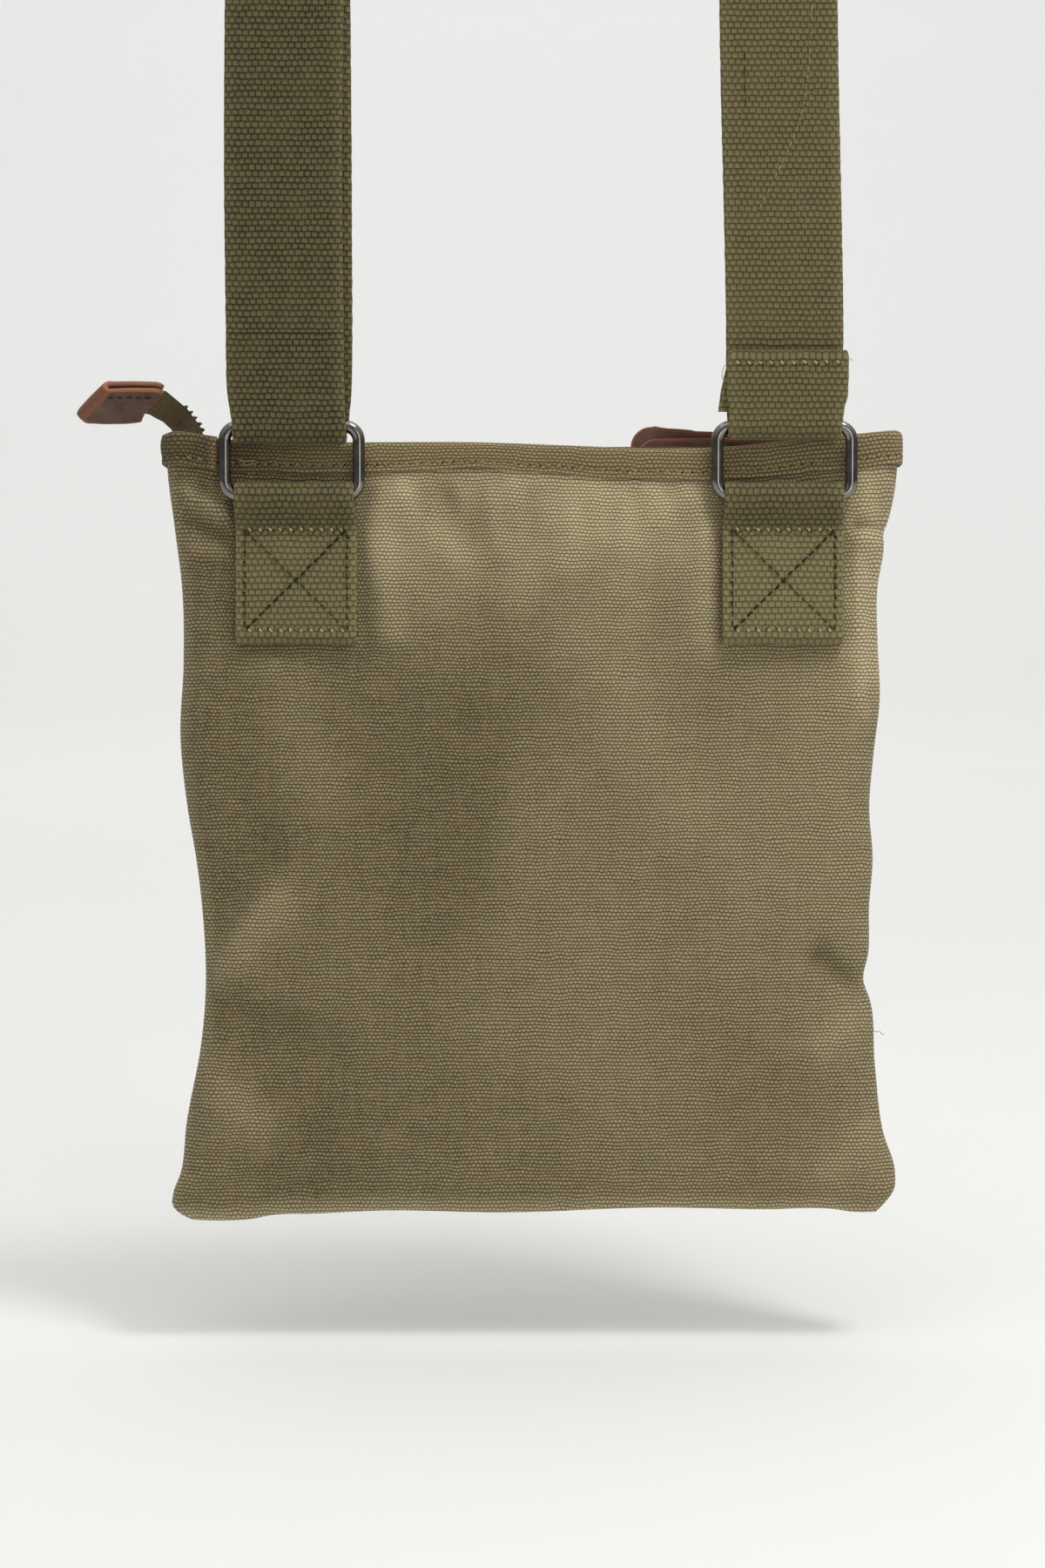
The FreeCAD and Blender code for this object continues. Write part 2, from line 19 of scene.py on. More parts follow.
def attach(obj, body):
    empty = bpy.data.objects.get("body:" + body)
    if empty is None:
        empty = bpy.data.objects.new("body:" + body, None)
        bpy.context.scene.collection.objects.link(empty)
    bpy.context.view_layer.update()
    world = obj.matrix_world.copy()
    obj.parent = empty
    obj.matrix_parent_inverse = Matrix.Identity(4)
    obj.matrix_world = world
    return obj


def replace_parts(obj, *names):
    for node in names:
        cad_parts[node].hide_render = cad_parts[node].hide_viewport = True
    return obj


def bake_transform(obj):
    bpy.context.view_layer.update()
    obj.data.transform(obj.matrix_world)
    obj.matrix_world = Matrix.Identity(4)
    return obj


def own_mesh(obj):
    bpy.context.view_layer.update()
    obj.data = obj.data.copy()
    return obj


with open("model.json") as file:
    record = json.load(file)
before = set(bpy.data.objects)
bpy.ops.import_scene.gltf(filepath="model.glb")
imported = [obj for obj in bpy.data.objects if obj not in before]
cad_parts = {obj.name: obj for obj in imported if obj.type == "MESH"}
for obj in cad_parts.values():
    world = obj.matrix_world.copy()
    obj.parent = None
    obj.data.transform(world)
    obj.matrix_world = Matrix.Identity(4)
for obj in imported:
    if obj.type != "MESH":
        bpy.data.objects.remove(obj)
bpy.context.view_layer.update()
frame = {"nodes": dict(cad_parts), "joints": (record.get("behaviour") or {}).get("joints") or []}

MM = 0.001
JOINTS = {joint["name"]: joint for joint in frame["joints"]}
RING_LEFT_X = JOINTS["ring_left_swing"]["pos_m"][0] / MM
RING_RIGHT_X = JOINTS["ring_right_swing"]["pos_m"][0] / MM
BAR_Z = JOINTS["ring_left_swing"]["pos_m"][2] / MM
PIVOT_Z = JOINTS["bag_swing"]["pos_m"][2] / MM
BAG_TILT = math.atan2(-JOINTS["zip_pull_swing"]["axis"][2], JOINTS["zip_pull_swing"]["axis"][1])
LOWER_BAR = -17.5                   # lower ring bars, in the bag's own heights
BAG_PLACE = (Matrix.Translation((0, 0, PIVOT_Z * MM)) @ Matrix.Rotation(-BAG_TILT, 4, "X")
             @ Matrix.Translation((0, 0, -LOWER_BAR * MM)))

# Bag sizes, mm
BACK_Y = 4.05                       # outer face of the back panel
FRONT_Y = 20.85                     # outer face of the front panel at the mouth
MID_Y = (BACK_Y + FRONT_Y) / 2
BAG_H = 248.0
CANVAS_T = 1.1
SEAM_GAP = 0.55                     # half the room between the two panels along the side seam

# Webbing sizes, mm
WEB_W = 37.6
WEB_T = 2.1
LOOP_R = 3.3                        # webbing's centre line round a ring bar
CROWN_R = 77.5                      # webbing's centre line over the crown
LAYER_Y = 2.15                      # front layer's centre line, in front of the main layer's

# Heights above the upper ring bars, mm
RETURN_START = 30.0                 # low end of the return run
MERGE_RUN = 60.0                    # the strap is back in its own plane here, above the ring's loop
LEAN_RUN = 145.0                    # the right side leans in below this
SEWN_START = 170.0                  # low end of the sewn end, behind
SEWN_FOLD = 178.0                   # low end of the sewn end, folded down in front
ADJUSTER_H = 215.0                  # the slide's middle bar
FLAT_RUN = 260.0                    # above this the strap turns its width towards Y, for the crown


# ---------------------------------------------------------------- small helpers

def smooth_curve(points, x):
    """Value at x of a smooth curve through (x, value) points in rising x."""
    xs = np.array([p[0] for p in points], float)
    ys = np.array([p[1] for p in points], float)
    slopes = np.gradient(ys, xs)
    x = np.clip(np.asarray(x, float), xs[0], xs[-1])
    i = np.clip(np.searchsorted(xs, x) - 1, 0, len(xs) - 2)
    h = xs[i + 1] - xs[i]
    t = (x - xs[i]) / h
    return ((2 * t ** 3 - 3 * t ** 2 + 1) * ys[i] + (t ** 3 - 2 * t ** 2 + t) * h * slopes[i]
            + (3 * t ** 2 - 2 * t ** 3) * ys[i + 1] + (t ** 3 - t ** 2) * h * slopes[i + 1])


def ease(t):
    t = np.clip(t, 0, 1)
    return t * t * (3 - 2 * t)


def round_off(t):
    """Quarter circle from 0 at t = 0 to 1 at t = 1."""
    return np.sqrt(np.clip(1 - (1 - np.clip(t, 0, 1)) ** 2, 0, 1))


def wobble(x, y, scale, seed):
    """Smooth noise from -1 to 1 over a plane, one value for each point."""
    flat = [noise.noise(Vector((a / scale + seed, b / scale - seed, seed * 1.7)))
            for a, b in zip(np.ravel(x), np.ravel(y))]
    return np.array(flat).reshape(np.shape(x)) * 1.6


def unit(v):
    return v / np.maximum(np.linalg.norm(v, axis=-1), 1e-9)[..., None]


def travel(points):
    """Distance from the first point to each point, along the line through all of them."""
    return np.concatenate([[0], np.cumsum(np.linalg.norm(np.diff(points, axis=0), axis=1))])


def add_mesh(name, verts, faces, material, body, cloth=None, wear_and_painted_light=None):
    """Mesh from millimetre points, with its attributes; rides on a body if one is named.

    Points of the strap and of its adjuster are in the row frame, all others in the bag's own frame.
    """
    verts = np.asarray(verts, float).reshape(-1, 3) * MM
    mesh = bpy.data.meshes.new(name)
    mesh.from_pydata([tuple(v) for v in verts], [], [tuple(int(i) for i in f) for f in faces])
    if body not in ("strap", "adjuster"):
        mesh.transform(BAG_PLACE)
    mesh.polygons.foreach_set("use_smooth", [True] * len(mesh.polygons))
    if cloth is not None:
        attribute = mesh.attributes.new("cloth", "FLOAT_VECTOR", "POINT")
        flat = np.zeros((len(verts), 3), np.float32)
        cloth = np.asarray(cloth, float).reshape(len(verts), -1)
        flat[:, :cloth.shape[1]] = cloth
        attribute.data.foreach_set("vector", flat.ravel())
    if wear_and_painted_light is not None:
        attribute = mesh.attributes.new("wear_and_painted_light", "FLOAT", "POINT")
        attribute.data.foreach_set("value", np.asarray(wear_and_painted_light, np.float32).ravel())
    mesh.materials.append(material)
    obj = bpy.data.objects.new(name, mesh)
    bpy.context.scene.collection.objects.link(obj)
    if body is not None:
        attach(obj, body)
    return obj


def grid_faces(rows, cols, close_cols=False, start=0, flip=False):
    """Quads over a grid of points stored row by row."""
    faces = []
    for r in range(rows - 1):
        for c in range(cols if close_cols else cols - 1):
            a, b = start + r * cols + c, start + r * cols + (c + 1) % cols
            faces.append((a, a + cols, b + cols, b) if flip else (a, b, b + cols, a + cols))
    return faces


def tube_faces(rows, sides, start=0, turned=False):
    """Faces of a tube of rows rings of points, with flat ends; turned for rings that run the other way."""
    near = tuple(range(start, start + sides))
    far = tuple(range(start + (rows - 1) * sides, start + rows * sides))
    ends = [near[::-1], far] if turned else [near, far[::-1]]
    return grid_faces(rows, sides, close_cols=True, start=start) + ends


def perimeter(rows, cols):
    """Grid indices round the edge of a rows x cols grid, and for each the index one step inside."""
    edge = list(range(cols)) + [r * cols + cols - 1 for r in range(1, rows)]
    edge += [(rows - 1) * cols + c for c in range(cols - 2, -1, -1)]
    edge += [r * cols for r in range(rows - 2, 0, -1)]
    inside = [min(max(i // cols, 1), rows - 2) * cols + min(max(i % cols, 1), cols - 2) for i in edge]
    return edge, inside


def sheet(name, middle, thick, material, body, cloth=None, wear_and_painted_light=None, worn_edge=0.5, edge_steps=3):
    """Closed sheet of real thickness round a grid of middle points, with fully rounded edges."""
    rows, cols = middle.shape[:2]
    across = np.gradient(middle, axis=1)
    along = np.gradient(middle, axis=0)
    normal = unit(np.cross(across, along)).reshape(-1, 3)
    flat = middle.reshape(-1, 3)
    half = thick / 2
    count = rows * cols
    verts = [flat + normal * half, flat - normal * half]
    cloth = np.zeros((count, 2)) if cloth is None else np.asarray(cloth, float).reshape(count, -1)
    wear_and_painted_light = np.zeros(count) if wear_and_painted_light is None else np.asarray(wear_and_painted_light, float).ravel()
    edge, inside = perimeter(rows, cols)
    out = flat[edge] - flat[inside]
    out = unit(out - np.sum(out * normal[edge], axis=1)[:, None] * normal[edge])
    clothes, wears = [cloth, cloth], [wear_and_painted_light, wear_and_painted_light]
    for k in range(1, edge_steps + 1):
        angle = math.pi * (0.5 - k / (edge_steps + 1))
        verts.append(flat[edge] + out * half * math.cos(angle) + normal[edge] * half * math.sin(angle))
        clothes.append(cloth[edge] + 0.3 * k)
        wears.append(np.clip(wear_and_painted_light[edge] + worn_edge, 0, 1))
    faces = grid_faces(rows, cols, flip=True) + grid_faces(rows, cols, start=count)
    n = len(edge)
    levels = [edge] + [[2 * count + k * n + i for i in range(n)] for k in range(edge_steps)]
    levels.append([count + i for i in edge])
    for low, high in zip(levels, levels[1:]):
        for i in range(n):
            j = (i + 1) % n
            faces.append((low[i], low[j], high[j], high[i]))
    return add_mesh(name, np.concatenate(verts), faces, material, body,
                    np.concatenate(clothes), np.concatenate(wears))


# ---------------------------------------------------------------- materials

class Shader:
    """Short way to build one node material."""

    def __init__(self, name):
        self.material = bpy.data.materials.new(name)
        self.material.use_nodes = True
        self.tree = self.material.node_tree
        self.bsdf = self.tree.nodes["Principled BSDF"]

    def node(self, kind, inputs=(), **props):
        made = self.tree.nodes.new(kind)
        for key, value in props.items():
            setattr(made, key, value)
        for key, value in dict(inputs).items():
            self.feed(made.inputs[key], value)
        return made

    def feed(self, socket, value):
        if isinstance(value, bpy.types.NodeSocket):
            self.tree.links.new(value, socket)
        elif value is not None:
            socket.default_value = value

    def math(self, operation, *values):
        return self.node("ShaderNodeMath", enumerate(values), operation=operation).outputs[0]

    def add(self, a, b):
        return self.math("ADD", a, b)

    def times(self, a, b):
        return self.math("MULTIPLY", a, b)

    def noise(self, vector, scale, detail=3.0, rough=0.5):
        return self.node("ShaderNodeTexNoise", {"Vector": vector, "Scale": scale, "Detail": detail,
                                                "Roughness": rough}).outputs["Fac"]

    def span(self, value, low, high, out_low=0.0, out_high=1.0):
        return self.node("ShaderNodeMapRange", {"Value": value, "From Min": low, "From Max": high,
                                                "To Min": out_low, "To Max": out_high}).outputs[0]

    def mix(self, share, a, b):
        made = self.node("ShaderNodeMix", data_type="RGBA")
        self.feed(made.inputs[0], share)
        self.feed(made.inputs[6], a)
        self.feed(made.inputs[7], b)
        return made.outputs[2]

    def stretch(self, cloth, scale):
        """Cloth coordinates scaled across and along the weave."""
        return self.node("ShaderNodeMapping", {"Vector": cloth, "Scale": (*scale, 1.0)}).outputs[0]

    def attribute(self, name, output="Vector"):
        return self.node("ShaderNodeAttribute", attribute_name=name).outputs[output]

    def bump(self, height, distance, strength):
        return self.node("ShaderNodeBump", {"Height": height, "Distance": distance,
                                            "Strength": strength}).outputs[0]

    def weave(self, cloth, pitch, wander, depth):
        """Brick pattern of ovals: height from 0 in the gaps to 1 on each crest, and a value per oval.

        Pitch is across an oval and from row to row, wander the slack of the yarns, all in millimetres.
        Depth is how deep the gaps between the ovals of one row are, from 0 to 1.
        """
        drift = self.node("ShaderNodeTexNoise", {"Vector": cloth, "Scale": 0.15, "Detail": 2.0})
        drift = self.node("ShaderNodeVectorMath", {0: drift.outputs["Color"], "Scale": wander},
                          operation="SCALE").outputs[0]
        place = self.node("ShaderNodeVectorMath", {0: cloth, 1: drift}, operation="ADD").outputs[0]
        place = self.node("ShaderNodeSeparateXYZ", {0: place})
        across = self.math("DIVIDE", place.outputs[0], pitch[0])
        along = self.math("DIVIDE", place.outputs[1], pitch[1])
        row = self.math("FLOOR", self.add(along, 0.5))
        shifted = self.add(across, self.times(self.math("FLOORED_MODULO", row, 2.0), 0.5))
        column = self.math("FLOOR", self.add(shifted, 0.5))
        cell = self.node("ShaderNodeCombineXYZ", {0: column, 1: row}).outputs[0]
        cell = self.node("ShaderNodeTexWhiteNoise", {"Vector": cell}).outputs["Value"]
        crest, swell = (self.math("ABSOLUTE", self.math("COSINE", self.times(way, math.pi)))
                        for way in (along, shifted))
        swell = self.span(self.math("POWER", swell, 0.7), 0.0, 1.0, 1.0 - depth, 1.0)
        return self.times(self.math("POWER", crest, 0.55), swell), cell

    def finish(self, color, roughness, normal=None, **fixed):
        for key, value in (("Base Color", color), ("Roughness", roughness), ("Normal", normal)):
            self.feed(self.bsdf.inputs[key], value)
        for key, value in fixed.items():
            self.bsdf.inputs[key.replace("_", " ")].default_value = value
        return self.material


def rgb(r, g, b):
    """Linear colour from display values 0 to 255."""
    return tuple(((v / 255 + 0.055) / 1.055) ** 2.4 for v in (r, g, b)) + (1.0,)


def canvas_material(name, light, dark, fade_and_painted_light, pitch=(1.31, 1.17), fade=1.0):
    """Washed plain weave: rows of staggered oval crossings, streaky yarns, cloudy fading, pale worn folds,
    and the painted light carried in the wear attribute.
    """
    s = Shader(name)
    cloth = s.attribute("cloth")
    oval, cell = s.weave(cloth, pitch, 1.8, 0.72)
    streaks = s.add(*(s.noise(s.stretch(cloth, scale), 1.0, 2.0) for scale in ((0.05, 1.3), (1.3, 0.05))))
    clouds = s.add(s.noise(cloth, 0.018, 3.0, 0.5), s.noise(cloth, 0.11, 3.0, 0.6))
    fleck = s.noise(cloth, 1.3, 3.0, 0.75)
    tone = s.add(s.span(streaks, 0.7, 1.3, -0.1, 0.1), s.span(fleck, 0.25, 0.75, -0.1, 0.1))
    tone = s.add(s.span(oval, 0.1, 0.95), s.add(tone, s.span(cell, 0.0, 1.0, -0.09, 0.09)))
    color = s.mix(s.span(tone, 0.05, 1.05), dark, light)
    cloudy = s.span(clouds, 0.7, 1.3, 0.0, 0.14 * fade)
    # The wear attribute and the clouds pale the cloth towards faded: real fading and wear, plus painted light
    # on the panels.
    wear_and_painted_light = s.add(s.times(s.attribute("wear_and_painted_light", "Fac"), fade), cloudy)
    color = s.mix(s.times(wear_and_painted_light, s.span(oval, 0.15, 0.9, 0.06, 1.0)), color, fade_and_painted_light)
    fuzz = s.noise(cloth, 5.0, 2.0, 0.6)
    relief = s.add(oval, s.times(fuzz, 0.4))
    normal = s.bump(relief, 0.00034, 0.95)
    return s.finish(color, s.span(fleck, 0.2, 0.8, 0.82, 0.97), normal, Specular_IOR_Level=0.2,
                    Sheen_Weight=0.1, Sheen_Roughness=0.5)


def webbing_material(name, light, dark, edge, pitch=(2.1, 1.92)):
    """Heavy webbing: rows of staggered round crossings, each of a few fine yarns, with thin dark gaps."""
    s = Shader(name)
    cloth = s.attribute("cloth")
    oval, cell = s.weave(cloth, pitch, 0.9, 0.85)
    strands = s.noise(s.stretch(cloth, (4.5, 0.7)), 1.0, 2.0)
    fleck = s.noise(cloth, 1.4, 3.0, 0.7)
    clouds = s.noise(cloth, 0.05, 3.0, 0.6)
    tone = s.add(s.span(fleck, 0.25, 0.75, -0.15, 0.15), s.span(strands, 0.3, 0.7, -0.16, 0.16))
    tone = s.add(tone, s.span(cell, 0.0, 1.0, -0.12, 0.12))
    color = s.mix(s.span(s.add(s.span(oval, 0.1, 0.85), tone), 0.0, 1.0), dark, light)
    color = s.mix(s.span(clouds, 0.45, 0.75, 0.0, 0.25), color, light)
    # The wear attribute pales the webbing towards edge: worn edges and fading, plus painted light on the
    # strap's right side and the right tab.
    wear_and_painted_light = s.times(s.attribute("wear_and_painted_light", "Fac"), s.span(oval, 0.1, 0.8, 0.35, 1.0))
    color = s.mix(s.times(wear_and_painted_light, s.span(fleck, 0.3, 0.7, 0.7, 1.0)), color, edge)
    relief = s.add(oval, s.times(strands, 0.35))
    normal = s.bump(relief, 0.00045, 0.85)
    return s.finish(color, s.span(fleck, 0.2, 0.8, 0.75, 0.92), normal, Specular_IOR_Level=0.22,
                    Sheen_Weight=0.08, Sheen_Roughness=0.5)


def leather_material(name, face, worn, deep):
    """Oiled leather: fine pebble grain, cloudy tone, paler worn edges and a painted highlight along the
    pocket plies' top edges.
    """
    s = Shader(name)
    place = s.node("ShaderNodeTexCoord").outputs["Object"]
    pebble = s.node("ShaderNodeTexVoronoi", {"Vector": place, "Scale": 1300.0}).outputs["Distance"]
    fine = s.noise(place, 2600.0, 3.0, 0.6)
    clouds = s.noise(place, 120.0, 4.0, 0.65)
    color = s.mix(s.span(clouds, 0.35, 0.7), face, deep)
    # Paler where worn, and along the pocket plies' top edges as a painted highlight.
    rub_and_painted_highlight = s.times(s.attribute("wear_and_painted_light", "Fac"), s.span(clouds, 0.3, 0.6, 0.6, 1.0))
    color = s.mix(rub_and_painted_highlight, color, worn)
    relief = s.add(s.times(pebble, 0.7), s.times(fine, 0.5))
    return s.finish(color, s.span(clouds, 0.3, 0.7, 0.42, 0.6), s.bump(relief, 0.0001, 0.55),
                    Specular_IOR_Level=0.45)


def metal_material(name, color, rough):
    """Dark plated wire: cloudy tarnish and fine scratches."""
    s = Shader(name)
    place = s.node("ShaderNodeTexCoord").outputs["Object"]
    clouds = s.noise(place, 160.0, 4.0, 0.6)
    fine = s.noise(place, 1500.0, 2.0, 0.6)
    worn = tuple(min(1.0, 1.3 * v) for v in color[:3]) + (1.0,)
    tint = s.mix(s.span(clouds, 0.42, 0.7), color, worn)
    return s.finish(tint, s.span(clouds, 0.3, 0.7, rough, rough + 0.1),
                    s.bump(fine, 0.000004, 0.1), Metallic=1.0)


def thread_material(name, color, dark):
    s = Shader(name)
    place = s.node("ShaderNodeTexCoord").outputs["Object"]
    twist = s.noise(place, 2400.0, 2.0, 0.6)
    tint = s.mix(s.span(twist, 0.3, 0.7), dark, color)
    return s.finish(tint, 0.75, s.bump(twist, 0.00008, 0.6), Specular_IOR_Level=0.3)


CANVAS = canvas_material("washed_canvas", rgb(142, 127, 92), rgb(34, 27, 12), rgb(200, 184, 144))
BINDING = canvas_material("binding_canvas", rgb(106, 92, 63), rgb(36, 28, 12), rgb(176, 158, 115),
                          pitch=(1.45, 1.25))
LINING = canvas_material("lining_cotton", rgb(150, 140, 115), rgb(110, 100, 80), rgb(165, 155, 130),
                         pitch=(0.8, 0.7), fade=0.3)
TAPE = canvas_material("zip_tape_weave", rgb(118, 103, 70), rgb(58, 48, 30), rgb(128, 112, 80),
                       pitch=(1.0, 0.6), fade=0.3)
WEBBING = webbing_material("olive_webbing", rgb(98, 89, 58), rgb(18, 14, 5), rgb(140, 129, 89))
LEATHER = leather_material("brown_leather", rgb(97, 69, 53), rgb(140, 84, 49), rgb(60, 38, 28))
RING_METAL = metal_material("dark_nickel", (0.2, 0.185, 0.175, 1.0), 0.08)
ZIP_METAL = metal_material("antique_brass", (0.17, 0.13, 0.08, 1.0), 0.34)
THREAD = thread_material("olive_thread", rgb(194, 181, 144), rgb(128, 114, 80))
DULL_THREAD = thread_material("dull_thread", rgb(166, 151, 110), rgb(104, 91, 60))
DARK_THREAD = thread_material("dark_thread", rgb(70, 60, 38), rgb(34, 28, 16))
# Near-black colour for the needle-hole dents and the tab's rising diagonal: painted shade.
HOLE_SHADE = thread_material("needle_hole_shade", rgb(34, 27, 15), rgb(20, 16, 9))
FRAY = thread_material("frayed_yarn", rgb(150, 118, 72), rgb(96, 72, 40))


# ---------------------------------------------------------------- the bag's shape

LEFT_EDGE = [(0, -118.8), (-10, -118.7), (-29, -116.2), (-47, -113.9), (-71, -113.3), (-94, -114.3),
             (-118, -111.9), (-134, -109.1), (-155, -106.7), (-174, -105.9), (-195, -107.6),
             (-218, -112.1), (-234, -114.2), (-240, -116.4), (-244.5, -116.0), (-248, -110.5)]
RIGHT_EDGE = [(0, 118.3), (-8, 118.2), (-28, 114.6), (-31, 113.4), (-34, 113.6), (-47, 111.6),
              (-65, 111.6), (-82, 112.2), (-100, 110.2), (-118, 108.8), (-134, 109.8), (-150, 108.6),
              (-164, 108.4), (-174, 106.8), (-179, 108.6), (-200, 110.4), (-222, 113.0), (-236, 117.0),
              (-241, 116.6), (-248, 110.8)]
MOUTH_LINE = [(-120, 3.4), (-112, 2.8), (-103, 1.4), (-88, 0.3), (-60, 0.0), (-20, 0.0), (15, -1.2),
              (36, -2.0), (60, -1.6), (78, 0.0), (92, 1.8), (105, 2.8), (120, 4.3)]
BOTTOM_LINE = [(-118, -2.2), (-104, -3.0), (-92, -2.6), (-84, -1.2), (-71, -0.8), (-50, 0.2), (-9, -0.4),
               (41, 1.2), (75, 0.6), (96, 0.8), (104, -0.2), (118, 0.3)]
RIM = [(-250, 7.0), (-238, 10.0), (-215, 13.0), (-172, 14.0), (-120, 12.0), (-66, 9.0), (-12, 6.5), (0, 6.0)]
BACK_FACE = [(-250, 7.0), (-238, 5.9), (-215, 5.0), (-172, 4.5), (-120, 4.2), (-66, 4.05), (0, 4.05)]
FRONT_FACE = [(-250, 20.5), (-238, 24.5), (-215, 28.4), (-172, 29.8), (-120, 27.8), (-66, 24.6),
              (-12, 20.85), (0, 20.85)]


def edge_x(side, z):
    points = LEFT_EDGE if side < 0 else RIGHT_EDGE
    return smooth_curve(points[::-1], z)


def mouth_rise(x, z):
    """How far the uneven mouth lifts the cloth: all of it at the top, none 70 mm down."""
    return smooth_curve(MOUTH_LINE, x) * ease(1 + z / 70)


def fold(x, z, start, end, width, height):
    """Soft ridge (or hollow, if height is negative) along a line from start to end."""
    (x0, z0), (x1, z1) = start, end
    dx, dz = x1 - x0, z1 - z0
    length2 = dx * dx + dz * dz
    t = np.clip(((x - x0) * dx + (z - z0) * dz) / length2, 0, 1)
    away = np.hypot(x - x0 - t * dx, z - z0 - t * dz)
    return height * np.exp(-(away / width) ** 2)


BACK_FOLDS = [
    ((-50, -24), (-46, -62), 5.0, 1.6),
    ((-57, -40), (-55, -70), 3.5, -1.1),
    ((57, -30), (54, -66), 6.0, 1.5),
    ((48, -16), (30, -34), 5.0, 1.0),
    ((-44, -16), (-26, -38), 6.0, 1.3),
    ((-30, -12), (-22, -30), 4.0, -1.1),
    ((-16, -12), (-10, -36), 4.0, 1.1),
    ((2, -13), (0, -30), 3.5, -0.9),
    ((14, -14), (10, -40), 5.0, 1.0),
    ((34, -14), (26, -26), 3.0, -0.4),
    ((-118, -17), (-98, -24), 2.8, 1.5),
    ((-118, -25), (-98, -31), 2.4, -1.5),
    ((-116, -36), (-99, -36), 3.2, 0.9),
    ((-112, -44), (-98, -44), 5.0, -0.6),
    ((115, -30), (104, -28), 1.8, -1.5),
    ((115, -34), (103, -33), 2.0, 1.0),
    ((104, -38), (106, -88), 2.6, 1.0),
    ((109, -42), (108, -84), 2.2, -1.0),
    ((-104, -172), (-82, -150), 7.0, 2.0),
    ((-103, -160), (-88, -128), 6.0, -1.9),
    ((-98, -186), (-70, -196), 9.0, -1.5),
    ((-106, -206), (-88, -222), 8.0, 1.4),
    ((106, -176), (92, -166), 4.5, -1.9),
    ((106, -184), (92, -196), 6.0, 1.4),
    ((108, -222), (94, -236), 6.0, 1.1),
    ((-84, -70), (-70, -112), 12.0, 1.1),
    ((20, -70), (48, -120), 14.0, 1.0),
    ((-20, -96), (-30, -150), 14.0, -1.1),
]
FRONT_FOLDS = [
    ((-100, -30), (-60, -48), 7.0, 1.0),
    ((-98, -52), (-54, -60), 6.0, -0.9),
    ((20, -20), (6, -60), 8.0, 0.9),
    ((-20, -16), (-26, -48), 6.0, -0.7),
    ((-104, -168), (-70, -150), 8.0, -1.5),
    ((-104, -186), (-64, -190), 9.0, 1.3),
    ((104, -172), (74, -160), 8.0, -1.3),
    ((104, -196), (70, -206), 9.0, 1.0),
    ((-60, -216), (40, -226), 9.0, -0.8),
    ((-40, -120), (-10, -170), 16.0, 0.9),
]


def relief(x, z, side):
    """How far the slack cloth stands out of its smooth shape."""
    folds = BACK_FOLDS if side < 0 else FRONT_FOLDS
    seed = 3.1 if side < 0 else 8.4
    out = 1.5 * sum(fold(x, z, *each) for each in folds)
    out = out + 0.9 * wobble(x, z, 62.0, seed) + 0.35 * wobble(x, z * 0.7, 24.0, seed + 2)
    out = out + 0.12 * wobble(x, z, 9.0, seed + 5)
    pucker = ease((z + 46) / 30) * ease((-9 - z) / 4)
    out = out + 1.5 * pucker * wobble(x * 2.2, z * 0.6, 14.0, seed + 7)
    return out


def calm(x, z, side):
    """1 where the cloth is free, 0 under the anchor tabs or the leather pocket."""
    free = np.ones_like(x)
    if side < 0:
        for centre in (-76.3, 80.2):
            near = ease((24.5 - np.abs(x - centre)) / 5) * ease((z + 72) / 7)
            free = free * (1 - near)
    else:
        near = ease((44 - np.abs(x - 67)) / 7) * ease((z + 112) / 7)
        free = free * (1 - near)
    return free


